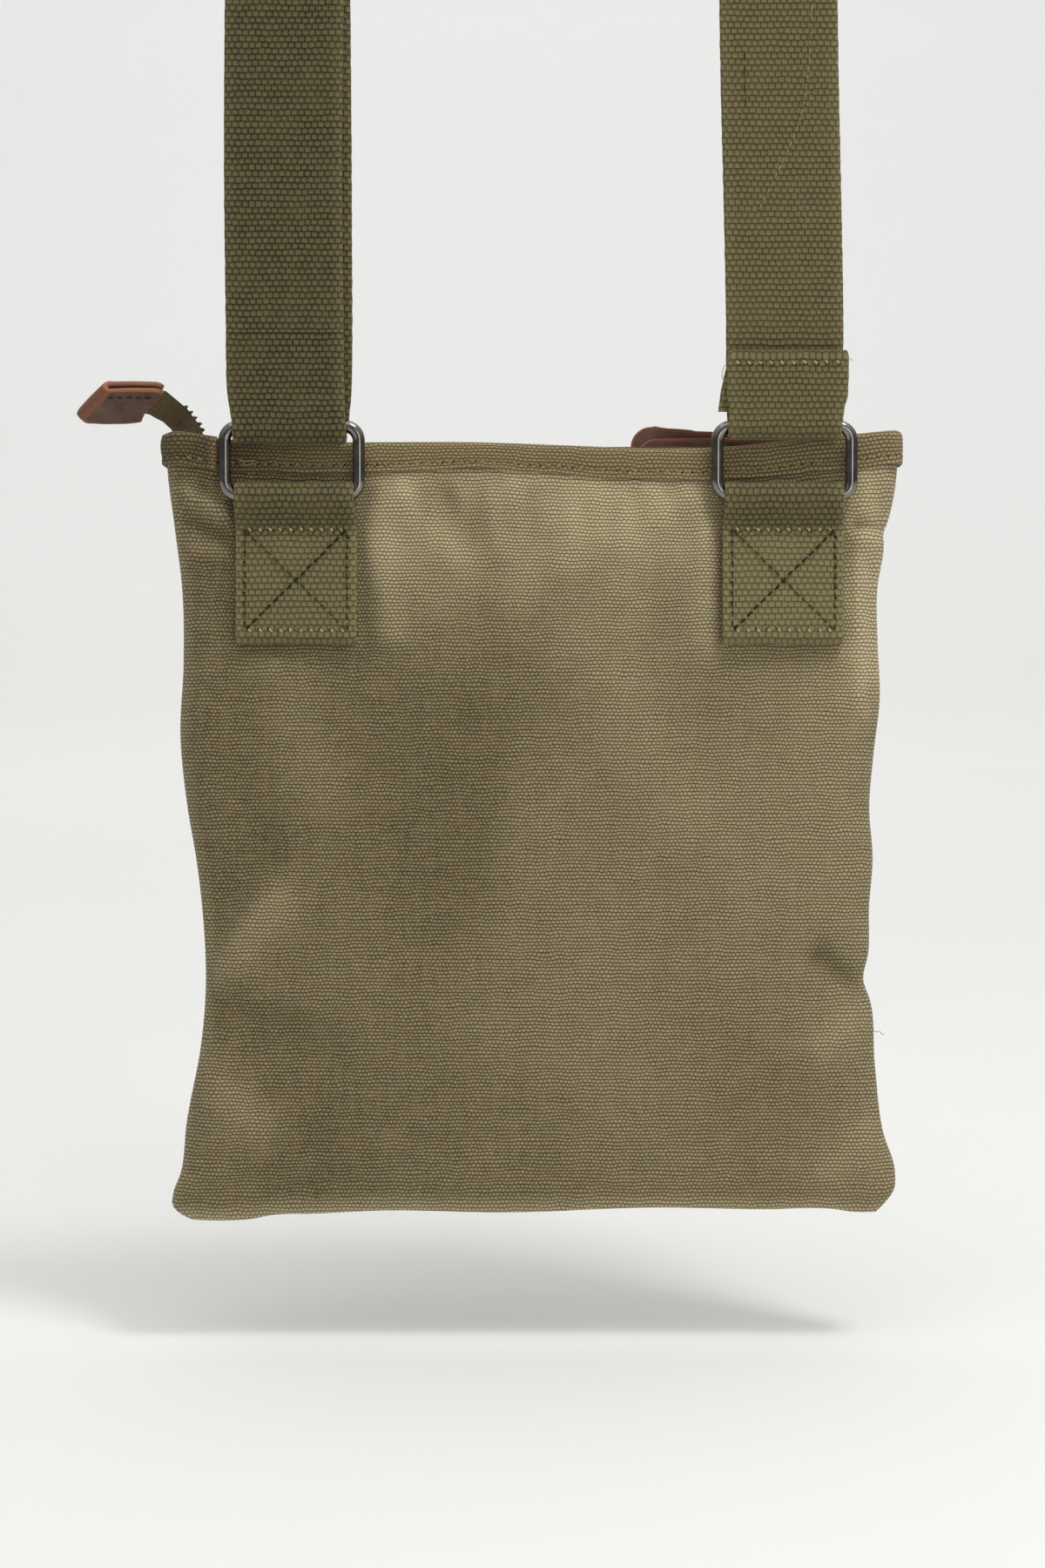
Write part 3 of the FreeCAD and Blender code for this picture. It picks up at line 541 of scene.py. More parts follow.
def panel_points(side, rows, cols, inset=0.0):
    """One panel's surface over a rows x cols grid: points, cloth coordinates, and wear with painted light in
    it.
    """
    share = np.linspace(0, 1, cols)
    share = 0.55 * share + 0.45 * (0.5 - 0.5 * np.cos(math.pi * share))
    down = np.linspace(0, 1, rows)
    down = 0.7 * down + 0.3 * (0.5 - 0.5 * np.cos(math.pi * down))
    z = -0.8 - down * (BAG_H - 0.8 - inset)
    z = np.repeat(z[:, None], cols, axis=1)
    left, right = edge_x(-1, z) + inset, edge_x(1, z) - inset
    x = left + (right - left) * share[None, :]
    low = -BAG_H + inset + smooth_curve(BOTTOM_LINE, x)
    z = z + smooth_curve(BOTTOM_LINE, x) * ease((-z - 190) / 55)
    away = np.minimum(x - left, right - x)
    rim = smooth_curve(RIM, z)
    bulge = round_off(away / rim)
    foot = round_off((z - low) / (9.0 if side < 0 else 14.0))
    face = smooth_curve(BACK_FACE if side < 0 else FRONT_FACE, z) - side * inset
    stand = relief(x, z, side) * calm(x, z, side) * ease((-z - 9) / 10) * bulge * foot
    if side < 0:
        stand = np.minimum(stand, 2.6)
    seam = MID_Y + side * SEAM_GAP
    y = seam + (face - seam) * bulge * foot + side * stand
    slump = 0.8 * wobble(z, z * 0, 30.0, 4.4 + side) * (1 - bulge) * ease((-z - 10) / 20)
    y = y + slump
    # Paler on raised folds from wear; the rise towards the right is painted light from the right, which
    # leaves the left side in painted shade.
    wear_and_painted_light = np.clip(0.06 + 0.24 * ease((x + 90) / 190) + 0.11 * stand, 0, 1)
    # Paler bottom fold: real wear, plus painted bounce light from the floor.
    wear_and_painted_light = np.maximum(wear_and_painted_light, 0.7 * (1 - ease((z - low) / 8)))
    wear_and_painted_light = np.maximum(wear_and_painted_light, 0.35 * (1 - ease(away / 5)))
    # glow is painted light: a pale patch at the top between the tabs, where the cloth faces up to the light,
    # and a pale band down the right edge, lit from the right.
    glow = np.exp(-((x + 2) / 58) ** 4) * np.exp(-((z + 12) / 36) ** 2)
    glow = glow + 1.1 * np.exp(-((x - 107) / 8) ** 2) * ease((z + 100) / 40)
    wear_and_painted_light = wear_and_painted_light + 0.85 * glow * (0.8 + 0.4 * wobble(x, z, 15.0, 2.2))
    wear_and_painted_light = np.clip(wear_and_painted_light, 0, 0.95)
    cloth = np.stack([x, z], axis=-1)
    z = z + mouth_rise(x, z)
    return np.stack([x, y, z], axis=-1), cloth, wear_and_painted_light


def make_panel(name, side, node, material, inset=0.0, thick=CANVAS_T, rows=150, cols=150):
    """Canvas or lining panel from the mouth down to the bottom seam."""
    middle, cloth, wear_and_painted_light = panel_points(side, rows, cols, inset + thick / 2)
    if side > 0:
        middle, cloth, wear_and_painted_light = middle[:, ::-1], cloth[:, ::-1], wear_and_painted_light[:, ::-1]
    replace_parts(sheet(name, middle, thick, material, "bag", cloth, wear_and_painted_light, 0.2), node)


def front_surface(x, z):
    """Y of the front panel's outer face, without its slack, for what is sewn on it."""
    x, z = np.asarray(x, float), np.asarray(z, float)
    away = np.minimum(x - edge_x(-1, z), edge_x(1, z) - x)
    bulge = round_off(away / smooth_curve(RIM, z))
    return MID_Y + (smooth_curve(FRONT_FACE, z) - MID_Y) * bulge


# ---------------------------------------------------------------- mouth binding

HALF_MOUTH_W = 118.5
MOUTH_CORNER = 6.0
LAP_X = -102.5                      # where the strip's end lies over its start
BINDING_STITCH_Z = -7.6


def mouth_path(step):
    """Closed outline of the mouth seen from above, from the middle of the back towards +X."""
    half, r = HALF_MOUTH_W, MOUTH_CORNER
    y0, y1 = BACK_Y, FRONT_Y
    points = []

    def run(a, b):
        count = max(1, int(round(math.dist(a, b) / step)))
        for k in range(count):
            t = k / count
            points.append((a[0] + t * (b[0] - a[0]), a[1] + t * (b[1] - a[1])))

    def bend(cx, cy, start):
        for k in range(8):
            angle = start + k / 8 * math.pi / 2
            points.append((cx + r * math.cos(angle), cy + r * math.sin(angle)))

    run((0, y0), (half - r, y0))
    bend(half - r, y0 + r, -math.pi / 2)
    run((half, y0 + r), (half, y1 - r))
    bend(half - r, y1 - r, 0)
    run((half - r, y1), (-half + r, y1))
    bend(-half + r, y1 - r, math.pi / 2)
    run((-half, y1 - r), (-half, y0 + r))
    bend(-half + r, y0 + r, math.pi)
    run((-half + r, y0), (0, y0))
    return np.array(points)


# The strip's cross-section: offset out of the panel's face, and height
BINDING_PROFILE = [
    (0.10, -10.1), (0.55, -10.3), (0.98, -9.9), (1.06, -9.0), (0.92, -8.2), (0.62, -7.6), (0.92, -7.0),
    (1.08, -6.0), (1.12, -4.6), (1.10, -3.2), (1.02, -2.0), (0.72, -0.9), (0.10, -0.2), (-0.75, 0.1),
    (-1.65, 0.1), (-2.5, -0.2), (-3.1, -0.9), (-3.25, -2.0), (-3.25, -3.6), (-2.9, -4.4), (-2.5, -4.2),
    (-2.35, -3.0), (-2.0, -1.6), (-1.2, -1.0), (-0.4, -1.2), (-0.05, -2.2), (0.0, -5.0), (0.0, -8.0),
]


def binding_height(x, y):
    """How tall the strip's outer fold stands at a place on the mouth, 1 on average."""
    uneven = 0.05 * noise.noise(Vector((x / 17, y / 11, 1.3)))
    return 1.0 + uneven - 0.16 * math.exp(-((x + 18) / 30) ** 2) + 0.10 * math.exp(-((x - 95) / 30) ** 2)


def binding_path(step):
    """Points, outward directions and lengths of the strip: once round the mouth, with a lapped end."""
    loop = mouth_path(step)
    ahead = unit(np.roll(loop, -1, axis=0) - np.roll(loop, 1, axis=0))
    out = np.stack([ahead[:, 1], -ahead[:, 0]], axis=1)
    back = [i for i, (x, y) in enumerate(loop) if y < BACK_Y + 0.01 and x < 0]
    start = min(back, key=lambda i: loop[i][0])
    end = min(back, key=lambda i: abs(loop[i][0] - LAP_X))
    order = [i % len(loop) for i in range(start, end + 1 + len(loop))]
    path = loop[order]
    return path, out[order], travel(path)


def binding_surface(x, y, out, length, total, offset, z):
    """One point of the strip's cross-section: offset out of the panel's face and height z."""
    lap = 0.75 * float(ease((length - total + 24) / 12))
    full = 1.0 + 0.12 * noise.noise(Vector((x / 6, y / 6, 7.3)))
    push = max(offset, 0) * full + min(offset, 0)
    if offset > 0.3:
        push += 0.9 * float(ease((-x - 112.5) / 5)) * (1 - 0.5 * abs(z + 4) / 6)
        push += 0.14 * math.sin(length * 2 * math.pi / 3.1) * math.exp(-((z - BINDING_STITCH_Z) / 1.2) ** 2)
        push += lap
    elif z > -1:
        push += 0.3 * lap
    tall = z * binding_height(x, y) if z < -1 else z + 0.7 * lap
    return (x + out[0] * push, y + out[1] * push, tall + float(mouth_rise(x, -1.0)))


def mouth_binding():
    """Canvas strip folded over the raw mouth edges, its end lapped over its start at the left."""
    path, out, length = binding_path(1.5)
    total = length[-1]
    girth = travel(BINDING_PROFILE)
    verts, cloth, wear_and_painted_light = [], [], []
    for (x, y), o, s in zip(path, out, length):
        raw = math.exp(-((total - s) / 1.5) ** 2)
        for (offset, z), g in zip(BINDING_PROFILE, girth):
            verts.append(binding_surface(x, y, o, s, total, offset, z))
            cloth.append((s, g))
            edge = math.exp(-((z + 9.9) / 0.6) ** 2) + 0.6 * math.exp(-(z / 0.9) ** 2)
            washed = 0.55 * float(ease((x + 106) / 50))
            wear_and_painted_light.append(min(0.9, edge * 0.3 + washed + raw))
    faces = tube_faces(len(path), len(BINDING_PROFILE))
    strip = add_mesh("mouth_binding_strip", verts, faces, BINDING, "bag", cloth, wear_and_painted_light)
    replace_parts(strip, "mouth_binding")


def binding_stitches():
    """One row of stitches through the strip, all round the mouth."""
    path, out, length = binding_path(0.5)
    total = length[-1]
    points = np.array([binding_surface(x, y, o, s, total, 0.72, BINDING_STITCH_Z)
                       for (x, y), o, s in zip(path, out, length)])
    chunk = 14                      # points of the path that share one outward direction
    lines = [(points[i:i + chunk + 1], (*out[i + chunk // 2], 0))
             for i in range(0, len(points) - chunk, chunk)]
    stitches("binding_stitches", lines, "bag", DULL_THREAD, pitch=3.1, seed=5, slot="binding", radius=0.32,
             fill=0.52, slant=-0.35, holes=True)


# ---------------------------------------------------------------- webbing

# Webbing's section, as shares of its size: place across, height, and reach past the flat part
WEB_SECTION = [(side * f, side, 0.0) if flat else (side, side * math.cos(f), math.sin(f))
               for side in (1.0, -1.0)
               for flat, steps in ((True, np.linspace(-1, 1, 13)), (False, np.radians(range(30, 180, 30))))
               for f in steps]
BACK_WEAVE = 60                     # shift of the weave on the webbing's other face, mm


def ribbon(name, path, across, body, width=WEB_W, thick=WEB_T, start=0.0, narrow=None, fade_and_painted_light=None):
    """Webbing swept along a centre line: a flat section with full round edges.

    Its width is scaled by narrow and it is paled by faded, both given for each point; the paling stands for
    real fading and for painted light.
    """
    path = np.asarray(path, float)
    across = unit(np.broadcast_to(np.asarray(across, float), path.shape))
    normal = unit(np.cross(unit(np.gradient(path, axis=0)), across))
    length = start + travel(path)
    half_t = thick / 2
    verts, cloth, wear_and_painted_light = [], [], []
    for i, centre in enumerate(path):
        half_w = width / 2 * (1.0 if narrow is None else narrow[i])
        fray = 0.18 * noise.noise(Vector((length[i] / 3.0, 2.0, 6.0)))
        for f, up, out in WEB_SECTION:
            reach = (half_w - half_t) * f + math.copysign(out * half_t, f) * (1 + fray)
            swell = 1 + 0.05 * noise.noise(Vector((reach / 7, length[i] / 7, 5.0)))
            point = centre + across[i] * reach + normal[i] * (up * half_t * swell)
            verts.append(point)
            cloth.append((reach + (BACK_WEAVE if up < 0 else 0), length[i]))
            # Paling from real fading and painted light, on top of the worn edges.
            washed = 0.05 if fade_and_painted_light is None else fade_and_painted_light[i]
            wear_and_painted_light.append(min(1.0, 0.4 * max(0.0, abs(reach) - half_w + 2.4) / 2.4 + washed))
    faces = tube_faces(len(path), len(WEB_SECTION))
    return add_mesh(name, verts, faces, WEBBING, body, cloth, wear_and_painted_light)


def resample(points, step):
    """Points at an even step along a polyline."""
    points = np.asarray(points, float)
    length = travel(points)
    count = max(2, int(length[-1] / step) + 1)
    at = np.linspace(0, length[-1], count)
    return np.stack([np.interp(at, length, points[:, k]) for k in range(points.shape[1])], axis=1)


def arc_yz(x, centre_y, centre_z, radius, start, end, count=14, drop=1.0):
    """Arc round an X-parallel bar, stretched in height by drop."""
    angles = np.radians(np.linspace(start, end, count))
    return [(x, centre_y + radius * math.cos(a), centre_z + radius * drop * math.sin(a)) for a in angles]


def soften(points, rounds=3):
    """Corner cutting that keeps both ends."""
    points = np.asarray(points, float)
    for _ in range(rounds):
        near = 0.75 * points[:-1] + 0.25 * points[1:]
        far = 0.25 * points[:-1] + 0.75 * points[1:]
        middle = np.empty((2 * len(near), points.shape[1]))
        middle[0::2], middle[1::2] = near, far
        points = np.concatenate([points[:1], middle, points[-1:]])
    return points


STRAP_STEP = 1.2
ARCH_STEPS = 140
FRONT_LEFT_X = RING_LEFT_X - 1.9
MAIN_LEFT_X = RING_LEFT_X + 0.8


def strap_path():
    """Centre line and width direction of the whole strap, left return leg to right turned-under end."""
    z = BAR_Z
    arch_z = -(CROWN_R - WEB_T / 2)
    left = [(FRONT_LEFT_X, -LAYER_Y, z + RETURN_START), (FRONT_LEFT_X, -LAYER_Y - 0.5, z + 14),
            (FRONT_LEFT_X + 0.9, -LOOP_R, z + 4)]
    left = list(soften(left)) + arc_yz(RING_LEFT_X - 0.6, 0, z, LOOP_R, 180, 360, drop=1.38)
    rise = [(RING_LEFT_X, LOOP_R, z + 1), (MAIN_LEFT_X, 1.4, z + 22), (MAIN_LEFT_X, 0.1, z + MERGE_RUN),
            (MAIN_LEFT_X, 0, z + 100), (-CROWN_R, 0, z + FLAT_RUN), (-CROWN_R, 0, arch_z)]
    left += list(soften(rise))
    left = resample(left, STRAP_STEP)
    flat_top = z + FLAT_RUN
    turns = ease((left[:, 2] - flat_top) / (arch_z - flat_top)) * math.pi / 2
    left_across = np.stack([np.cos(turns), np.sin(turns), 0 * turns], axis=1)
    angles = np.linspace(math.pi, 0, ARCH_STEPS + 2)[1:-1]
    arch = np.stack([CROWN_R * np.cos(angles), np.zeros(ARCH_STEPS), arch_z + CROWN_R * np.sin(angles)],
                    axis=1)
    arch_across = np.repeat([[0.0, 1.0, 0.0]], ARCH_STEPS, axis=0)
    fall = [(CROWN_R, 0, arch_z), (CROWN_R, 0, z + FLAT_RUN), (CROWN_R - 0.4, 0, z + LEAN_RUN),
            (RING_RIGHT_X - 0.2, 0.2, z + MERGE_RUN - 18), (RING_RIGHT_X, 1.5, z + 20),
            (RING_RIGHT_X, LOOP_R, z + 1)]
    right = list(soften(fall)) + arc_yz(RING_RIGHT_X, 0, z, LOOP_R, 0, -180)
    front = [(RING_RIGHT_X + 0.2, -LOOP_R, z + 2), (RING_RIGHT_X + 0.7, -3.3, z + 12),
             (RING_RIGHT_X + 0.8, -3.2, z + 21.5)]
    right += list(soften(front, 2))
    right += arc_yz(RING_RIGHT_X + 0.8, -2.12, z + 22.4, 1.08, 180, 0, 8)
    right += [(RING_RIGHT_X - 1.2, -1.0, z + 14), (RING_RIGHT_X - 3.1, -0.9, z + 4.6)]
    right = resample(right, STRAP_STEP)
    turns = ease((right[:, 2] - flat_top) / (arch_z - flat_top)) * math.pi / 2
    right_across = np.stack([-np.cos(turns), np.sin(turns), 0 * turns], axis=1)
    return np.concatenate([left, arch, right]), np.concatenate([left_across, arch_across, right_across])


def shoulder_strap():
    """The whole strap: pinched in the rings, spread at the right fold, paler on its right side as painted
    light from the right.
    """
    path, across = strap_path()
    near_bar = np.hypot(path[:, 1], path[:, 2] - BAR_Z)
    pinch = 0.03 * np.exp(-(np.maximum(near_bar - 3, 0) / 5) ** 2)
    in_fold = (path[:, 0] > 0) * ease((-path[:, 1] - 2.2) / 0.8) * ease((path[:, 2] - BAR_Z - 5) / 5)
    narrow = 1 - pinch + 0.032 * in_fold
    sway = 0.25 * np.array([noise.noise(Vector((p[2] / 22, p[0] / 60, 1.0))) for p in path])
    free = ease((near_bar - 60) / 40)
    path = path + np.outer(sway * free, (0, 1, 0))
    # Painted light: the webbing is paled towards its right side, as if lit from the right.
    fade_and_painted_light = 0.42 * ease((path[:, 0] + 20) / 60)
    strap = ribbon("shoulder_strap_webbing", path, across, "strap", narrow=narrow, fade_and_painted_light=fade_and_painted_light)
    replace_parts(strap, "shoulder_strap")


def return_run():
    """The strap's layer from the left ring up to the slide, which shortens as the slide comes down."""
    z = BAR_Z
    points = [(FRONT_LEFT_X, -LAYER_Y, z + RETURN_START - 0.4), (FRONT_LEFT_X - 0.4, -LAYER_Y, z + 90),
              (RING_LEFT_X - 0.8, -LAYER_Y, z + SEWN_START + 1)]
    path = resample(soften(points), 1.6)[::-1]
    obj = ribbon("return_run_webbing", path, (1, 0, 0), "strap", start=-travel(path)[-1])
    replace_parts(obj, "strap_return_run")
    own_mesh(obj)


def sewn_end():
    """The strap's end round the slide's middle bar, folded down in front and sewn."""
    z = BAR_Z + ADJUSTER_H
    bar_y, loop = -4.5, 2.45
    points = [(RING_LEFT_X, -LAYER_Y, BAR_Z + SEWN_START), (RING_LEFT_X, -LAYER_Y, z - 6),
              (RING_LEFT_X, bar_y + loop, z - 0.5)]
    points += arc_yz(RING_LEFT_X, bar_y, z, loop, 0, 180, 12)
    points += [(RING_LEFT_X, -6.2, z - 7), (RING_LEFT_X, -4.1, z - 14), (RING_LEFT_X, -4.0, z - 37)]
    end = ribbon("strap_sewn_end_webbing", resample(points, 1.4), (1, 0, 0), "adjuster", thick=1.8)
    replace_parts(end, "strap_sewn_end")


TAB_W = 39.0
TAB_LOW = -63.2
TAB_OUTER_Y = BACK_Y - 3.15         # centre line of the tab's outer layer


def anchor_tab(name, node, x, top_lean, washed):
    """Webbing folded over the lower ring bar, both ends turned in and sewn flat to the back panel.

    Its sewn part is paler than the loop, by the share washed; the right tab's larger share is painted light
    from the right.
    """
    z = LOWER_BAR
    low = TAB_LOW
    inner, outer = BACK_Y - 1.05, TAB_OUTER_Y
    points = [(x, inner, low + 2), (x, inner, z - 12), (x, LOOP_R, z - 1)]
    path = list(soften(points, 2)) + arc_yz(x + top_lean, 0, z, LOOP_R, 0, 180)
    front = [(x + top_lean, -LOOP_R, z - 1), (x + top_lean, -2.7, z - 4), (x, 0.3, z - 9),
             (x, outer, z - 12), (x, outer, low + 4), (x, outer, low + 0.3)]
    path += list(soften(front, 3))
    path += arc_yz(x, inner - 1.05, low, 1.05, 180, 350, 9)
    path = resample(path, 1.3)
    near_bar = np.hypot(path[:, 1], path[:, 2] - z)
    narrow = 1 - 0.015 * np.exp(-(np.maximum(near_bar - 3, 0) / 4) ** 2)
    fade_and_painted_light = washed * (0.3 + 0.7 * ease((-path[:, 2] - 26) / 6))
    tab = ribbon(name, path, (1, 0, 0), "bag", width=TAB_W, narrow=narrow, fade_and_painted_light=fade_and_painted_light)
    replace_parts(tab, node)


# ---------------------------------------------------------------- thread

def ring(centre, side, up, radius, sides):
    """Points round a centre, from the direction side towards the direction up."""
    angles = [2 * math.pi * k / sides for k in range(sides)]
    return [centre + radius * (math.cos(a) * side + math.sin(a) * up) for a in angles]


STITCH_SIDES = 6
STITCH_RINGS = 6


def add_stitch(verts, faces, start, end, up, radius, sink, lift):
    """One stitch: a short bowed thread whose ends dive into the cloth."""
    faces += tube_faces(STITCH_RINGS, STITCH_SIDES, start=len(verts), turned=True)
    side = np.cross(unit(end - start), up)
    for t, height, size in ((0.0, -sink, 0.5), (0.12, -0.1 * sink, 0.9), (0.35, lift, 1.0),
                            (0.65, lift, 1.0), (0.88, -0.1 * sink, 0.9), (1.0, -sink, 0.5)):
        centre = start + (end - start) * t + up * height
        verts += ring(centre, side, up, radius * size, STITCH_SIDES)


def stitches(name, lines, body, material, pitch=3.0, radius=0.27, fill=0.72, lift=0.12, sink=0.35,
             slot="webbing", seed=1, slant=0.0, holes=False):
    """Rows of stitches along lines of (points, outward direction), all in one piece, and their holes.

    Each stitch turns by slant in the cloth's plane. The holes are dents at its ends, coloured near black as
    painted shade.
    """
    rng = random.Random(seed)
    verts, faces, dents, dent_faces = [], [], [], []
    for points, up in lines:
        path = resample(points, pitch)
        up = np.asarray(up, float)
        for a, b in zip(path, path[1:]):
            nudge = np.array([rng.uniform(-0.12, 0.12) for _ in range(3)])
            middle, half = (a + b) / 2 + nudge, (b - a) / 2 * fill
            half = half * math.cos(slant) + np.cross(up, half) * math.sin(slant)
            add_stitch(verts, faces, middle - half, middle + half, up,
                       radius * rng.uniform(0.85, 1.15), sink, lift * rng.uniform(0.5, 1.6))
            if holes:
                spot = middle + half * 1.15 + np.cross(up, b - a) / pitch * 0.15
                wide = unit(b - a) * rng.uniform(0.25, 0.42)
                add_stitch(dents, dent_faces, spot - wide, spot + wide, up,
                           radius=rng.uniform(0.34, 0.46), sink=0.3, lift=-0.22)
    if holes:
        add_mesh(name + "_holes", dents, dent_faces, HOLE_SHADE, body)
    return add_mesh(name, verts, faces, material, body)


ODD_DIRECTION = (0.31, 0.87, 0.38)  # no loose yarn runs this way
YARN_SIDES = 5


def loose_threads(name, strands, body, radius=0.13, material=FRAY):
    """Stray yarns, each a thin tube along its own points."""
    verts, faces = [], []
    for points in strands:
        path = resample(soften(points, 3), 0.5)
        faces += tube_faces(len(path), YARN_SIDES, start=len(verts), turned=True)
        for i, (centre, ahead) in enumerate(zip(path, unit(np.gradient(path, axis=0)))):
            side = unit(np.cross(ahead, ODD_DIRECTION))
            size = radius * (0.4 if i in (0, len(path) - 1) else 1.0)
            verts += ring(centre, side, np.cross(side, ahead), size, YARN_SIDES)
    add_mesh(name, verts, faces, material, body)


# ---------------------------------------------------------------- sewing on the bag and strap

TO_BACK = (0, -1, 0)
THICK_ROW = {"lift": 0.2, "radius": 0.36, "pitch": 3.27, "fill": 0.46, "slant": -0.75, "holes": True}
BOX_HALF_W = 16.4
BOX_TOP = -28.6
BOX_LOW = -60.9


def tab_stitches(name, x):
    """Box with a cross, sewn through the tab and the back panel."""
    y = TAB_OUTER_Y - WEB_T / 2 - 0.02
    top_y = y - 0.9 * float(ease((BOX_TOP + 30.5) / 3.0))
    a, b = (x - BOX_HALF_W, top_y, BOX_TOP), (x + BOX_HALF_W, top_y, BOX_TOP)
    c, d = (x + BOX_HALF_W, y, BOX_LOW), (x - BOX_HALF_W, y, BOX_LOW)
    top, right, low, left, rising, falling = [(resample(ends, 1.5), TO_BACK)
                                              for ends in ((a, b), (b, c), (c, d), (d, a), (d, b), (a, c))]
    seed = int(abs(x))
    stitches(name + "_rows", [top, low], "bag", THREAD, seed=seed, **THICK_ROW)
    stitches(name + "_sides", [left, right], "bag", DARK_THREAD, seed=seed + 1, lift=0.0, radius=0.24,
             fill=0.5, holes=True)
    # The rising diagonal is a dark line along its needle holes: painted shade.
    stitches(name + "_rising", [rising], "bag", HOLE_SHADE, seed=seed + 2, lift=0.06, radius=0.34, pitch=2.9)
    stitches(name + "_falling", [falling], "bag", DARK_THREAD, seed=seed + 3, lift=-0.05, radius=0.24)


def strap_sewing():
    """Seams that hold the strap's right end and the adjuster's fold."""
    front_y = -3.24 - WEB_T / 2
    main_y = -WEB_T / 2 - 0.05
    x, z = RING_RIGHT_X, BAR_Z
    top = [(x - 17.0, front_y, z + 20.1), (x + 18.3, front_y, z + 20.4)]
    stitches("strap_end_stitches", [(top, TO_BACK)], "strap", THREAD, seed=21, **THICK_ROW)
    long_seam = [(x + dx, main_y, z + dz)
                 for dx, dz in ((-8.9, 68.5), (-1, 84), (5.0, 97.5), (7.2, 116), (7.8, 133))]
    stitches("strap_join_stitches", [(soften(long_seam), TO_BACK)], "strap", DULL_THREAD, seed=22,
             radius=0.24, pitch=2.7, lift=0.1)
    stub = [(x - 13.2, main_y, z + 100), (x - 13.6, main_y, z + 119.5)]
    stitches("strap_old_seam", [(stub, TO_BACK)], "strap", DARK_THREAD, seed=23, radius=0.2, pitch=4.6,
             lift=0.02)
    rows = [([(RING_LEFT_X + dx, -4.9, z + SEWN_FOLD + dz) for dx in (-16.5, 16.5)], TO_BACK)
            for dz in (4, 12)]
    stitches("adjuster_stitches", rows, "adjuster", THREAD, seed=24, lift=0.15)


# ---------------------------------------------------------------- zip

CHAIN_Z = -6.5


def zip_tape(name, node, side):
    """Woven tape: flat under the teeth, then up inside the binding."""
    xs = np.linspace(-112, 114, 114)
    profile = soften([(1.0, CHAIN_Z), (4.6, CHAIN_Z - 0.1), (6.1, CHAIN_Z + 0.4), (6.35, CHAIN_Z + 2.2),
                      (6.4, -1.6)], 2)
    profile = profile[::-1 if side > 0 else 1]
    rows = []
    for off, z in profile:
        dip = 0.25 * wobble(xs, xs * 0 + off, 26.0, 12.5 + side)
        rows.append(np.stack([xs, xs * 0 + MID_Y + side * off, z + dip * (off > 1.5) * (off < 6.2)], axis=1))
    cloth = np.stack(np.meshgrid(xs, np.arange(len(profile)) * 0.9), axis=-1)
    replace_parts(sheet(name, np.array(rows), 0.6, TAPE, "bag", cloth), node)


CAP_TILT = math.radians(44)         # the tail's cap leans its top to the back of the bag
CAP_MID_Z = 13.8
# Edges of the tail (x, height) from inside the mouth to inside the cap
TAIL_UPPER = [(-106.6, 1.4), (-108.4, 6.2), (-112.8, 11.8), (-119.2, 16.9), (-124.0, 17.4), (-131.0, 17.2)]
TAIL_LOWER = [(-115.6, 1.2), (-117.2, 5.2), (-120.2, 8.2), (-124.9, 10.8), (-128.0, 11.2), (-132.0, 11.0)]


def lean(x, out, up, share=1.0):
    """Bag points for places on the cap: out of its middle plane, and up along it."""
    turn = CAP_TILT * share
    return np.stack([x, MID_Y - up * np.sin(turn) + out * np.cos(turn),
                     CAP_MID_Z + up * np.cos(turn) + out * np.sin(turn)], axis=-1)


def tail_point(u, v, out):
    """Point of the tail: u along it, v from its lower (-1) to its upper edge (1), out of its middle."""
    low, high = curve_at(TAIL_LOWER, u), curve_at(TAIL_UPPER, u)
    x, z = (low + (high - low) * (v + 1) / 2)
    turn = CAP_TILT * float(ease(u / 0.62))
    return np.array([x, MID_Y - (z - CAP_MID_Z) * math.tan(turn) + out * math.cos(turn),
                     z + out * math.sin(turn)])


def bend_with_tail(obj):
    """Bakes the piece's placement into its points."""
    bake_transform(obj)


def zip_tail():
    """Both tapes folded on edge past the mouth's end, twisting back into the cap."""
    rows, cols = 16, 30
    for name, sign in (("zip_tail_tape_back", -1), ("zip_tail_tape_front", 1)):
        middle = np.zeros((rows, cols, 3))
        cloth = np.zeros((rows, cols, 2))
        for r, v in enumerate(np.linspace(-1, 1, rows)):
            for c, u in enumerate(np.linspace(0, 1, cols)):
                open_end = 1.3 * float(1 - ease(u / 0.4)) * (1 - 0.8 * v * v)
                hollow = 1.5 * math.exp(-((u - 0.2) / 0.09) ** 2 - ((v + 0.35) / 0.5) ** 2)
                middle[r, c] = tail_point(u, v, sign * (0.33 + open_end - hollow * (sign < 0)))
                cloth[r, c] = (u * 31, v * 4)
        if sign > 0:
            middle, cloth = middle[:, ::-1], cloth[:, ::-1]
        tape = sheet(name, middle, 0.55, TAPE, None, cloth, worn_edge=0.6)
        bend_with_tail(tape)
        if sign < 0:
            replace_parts(tape, "zip_tail_tape")


def tail_teeth():
    """The last small teeth, on the lower half of the tail's upper edge."""
    lines = []
    for u in (0.12, 0.19, 0.26, 0.33, 0.40):
        a, b = tail_point(u - 0.02, 1.12, 0), tail_point(u + 0.02, 1.12, 0)
        up = unit(tail_point(u, 1.0, 0) - tail_point(u, 0.6, 0))
        middle, half = (a + b) / 2, unit(b - a) * 0.75
        lines.append((np.array([middle - half, middle + half]), up))
    teeth = stitches("zip_tail_teeth_row", lines, None, ZIP_METAL, pitch=1.5, radius=0.6, fill=0.9, lift=0.35,
                     sink=0.5, slot="zip_metal", seed=9)
    bend_with_tail(teeth)
    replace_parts(teeth, "zip_tail_teeth")


# ---------------------------------------------------------------- leather

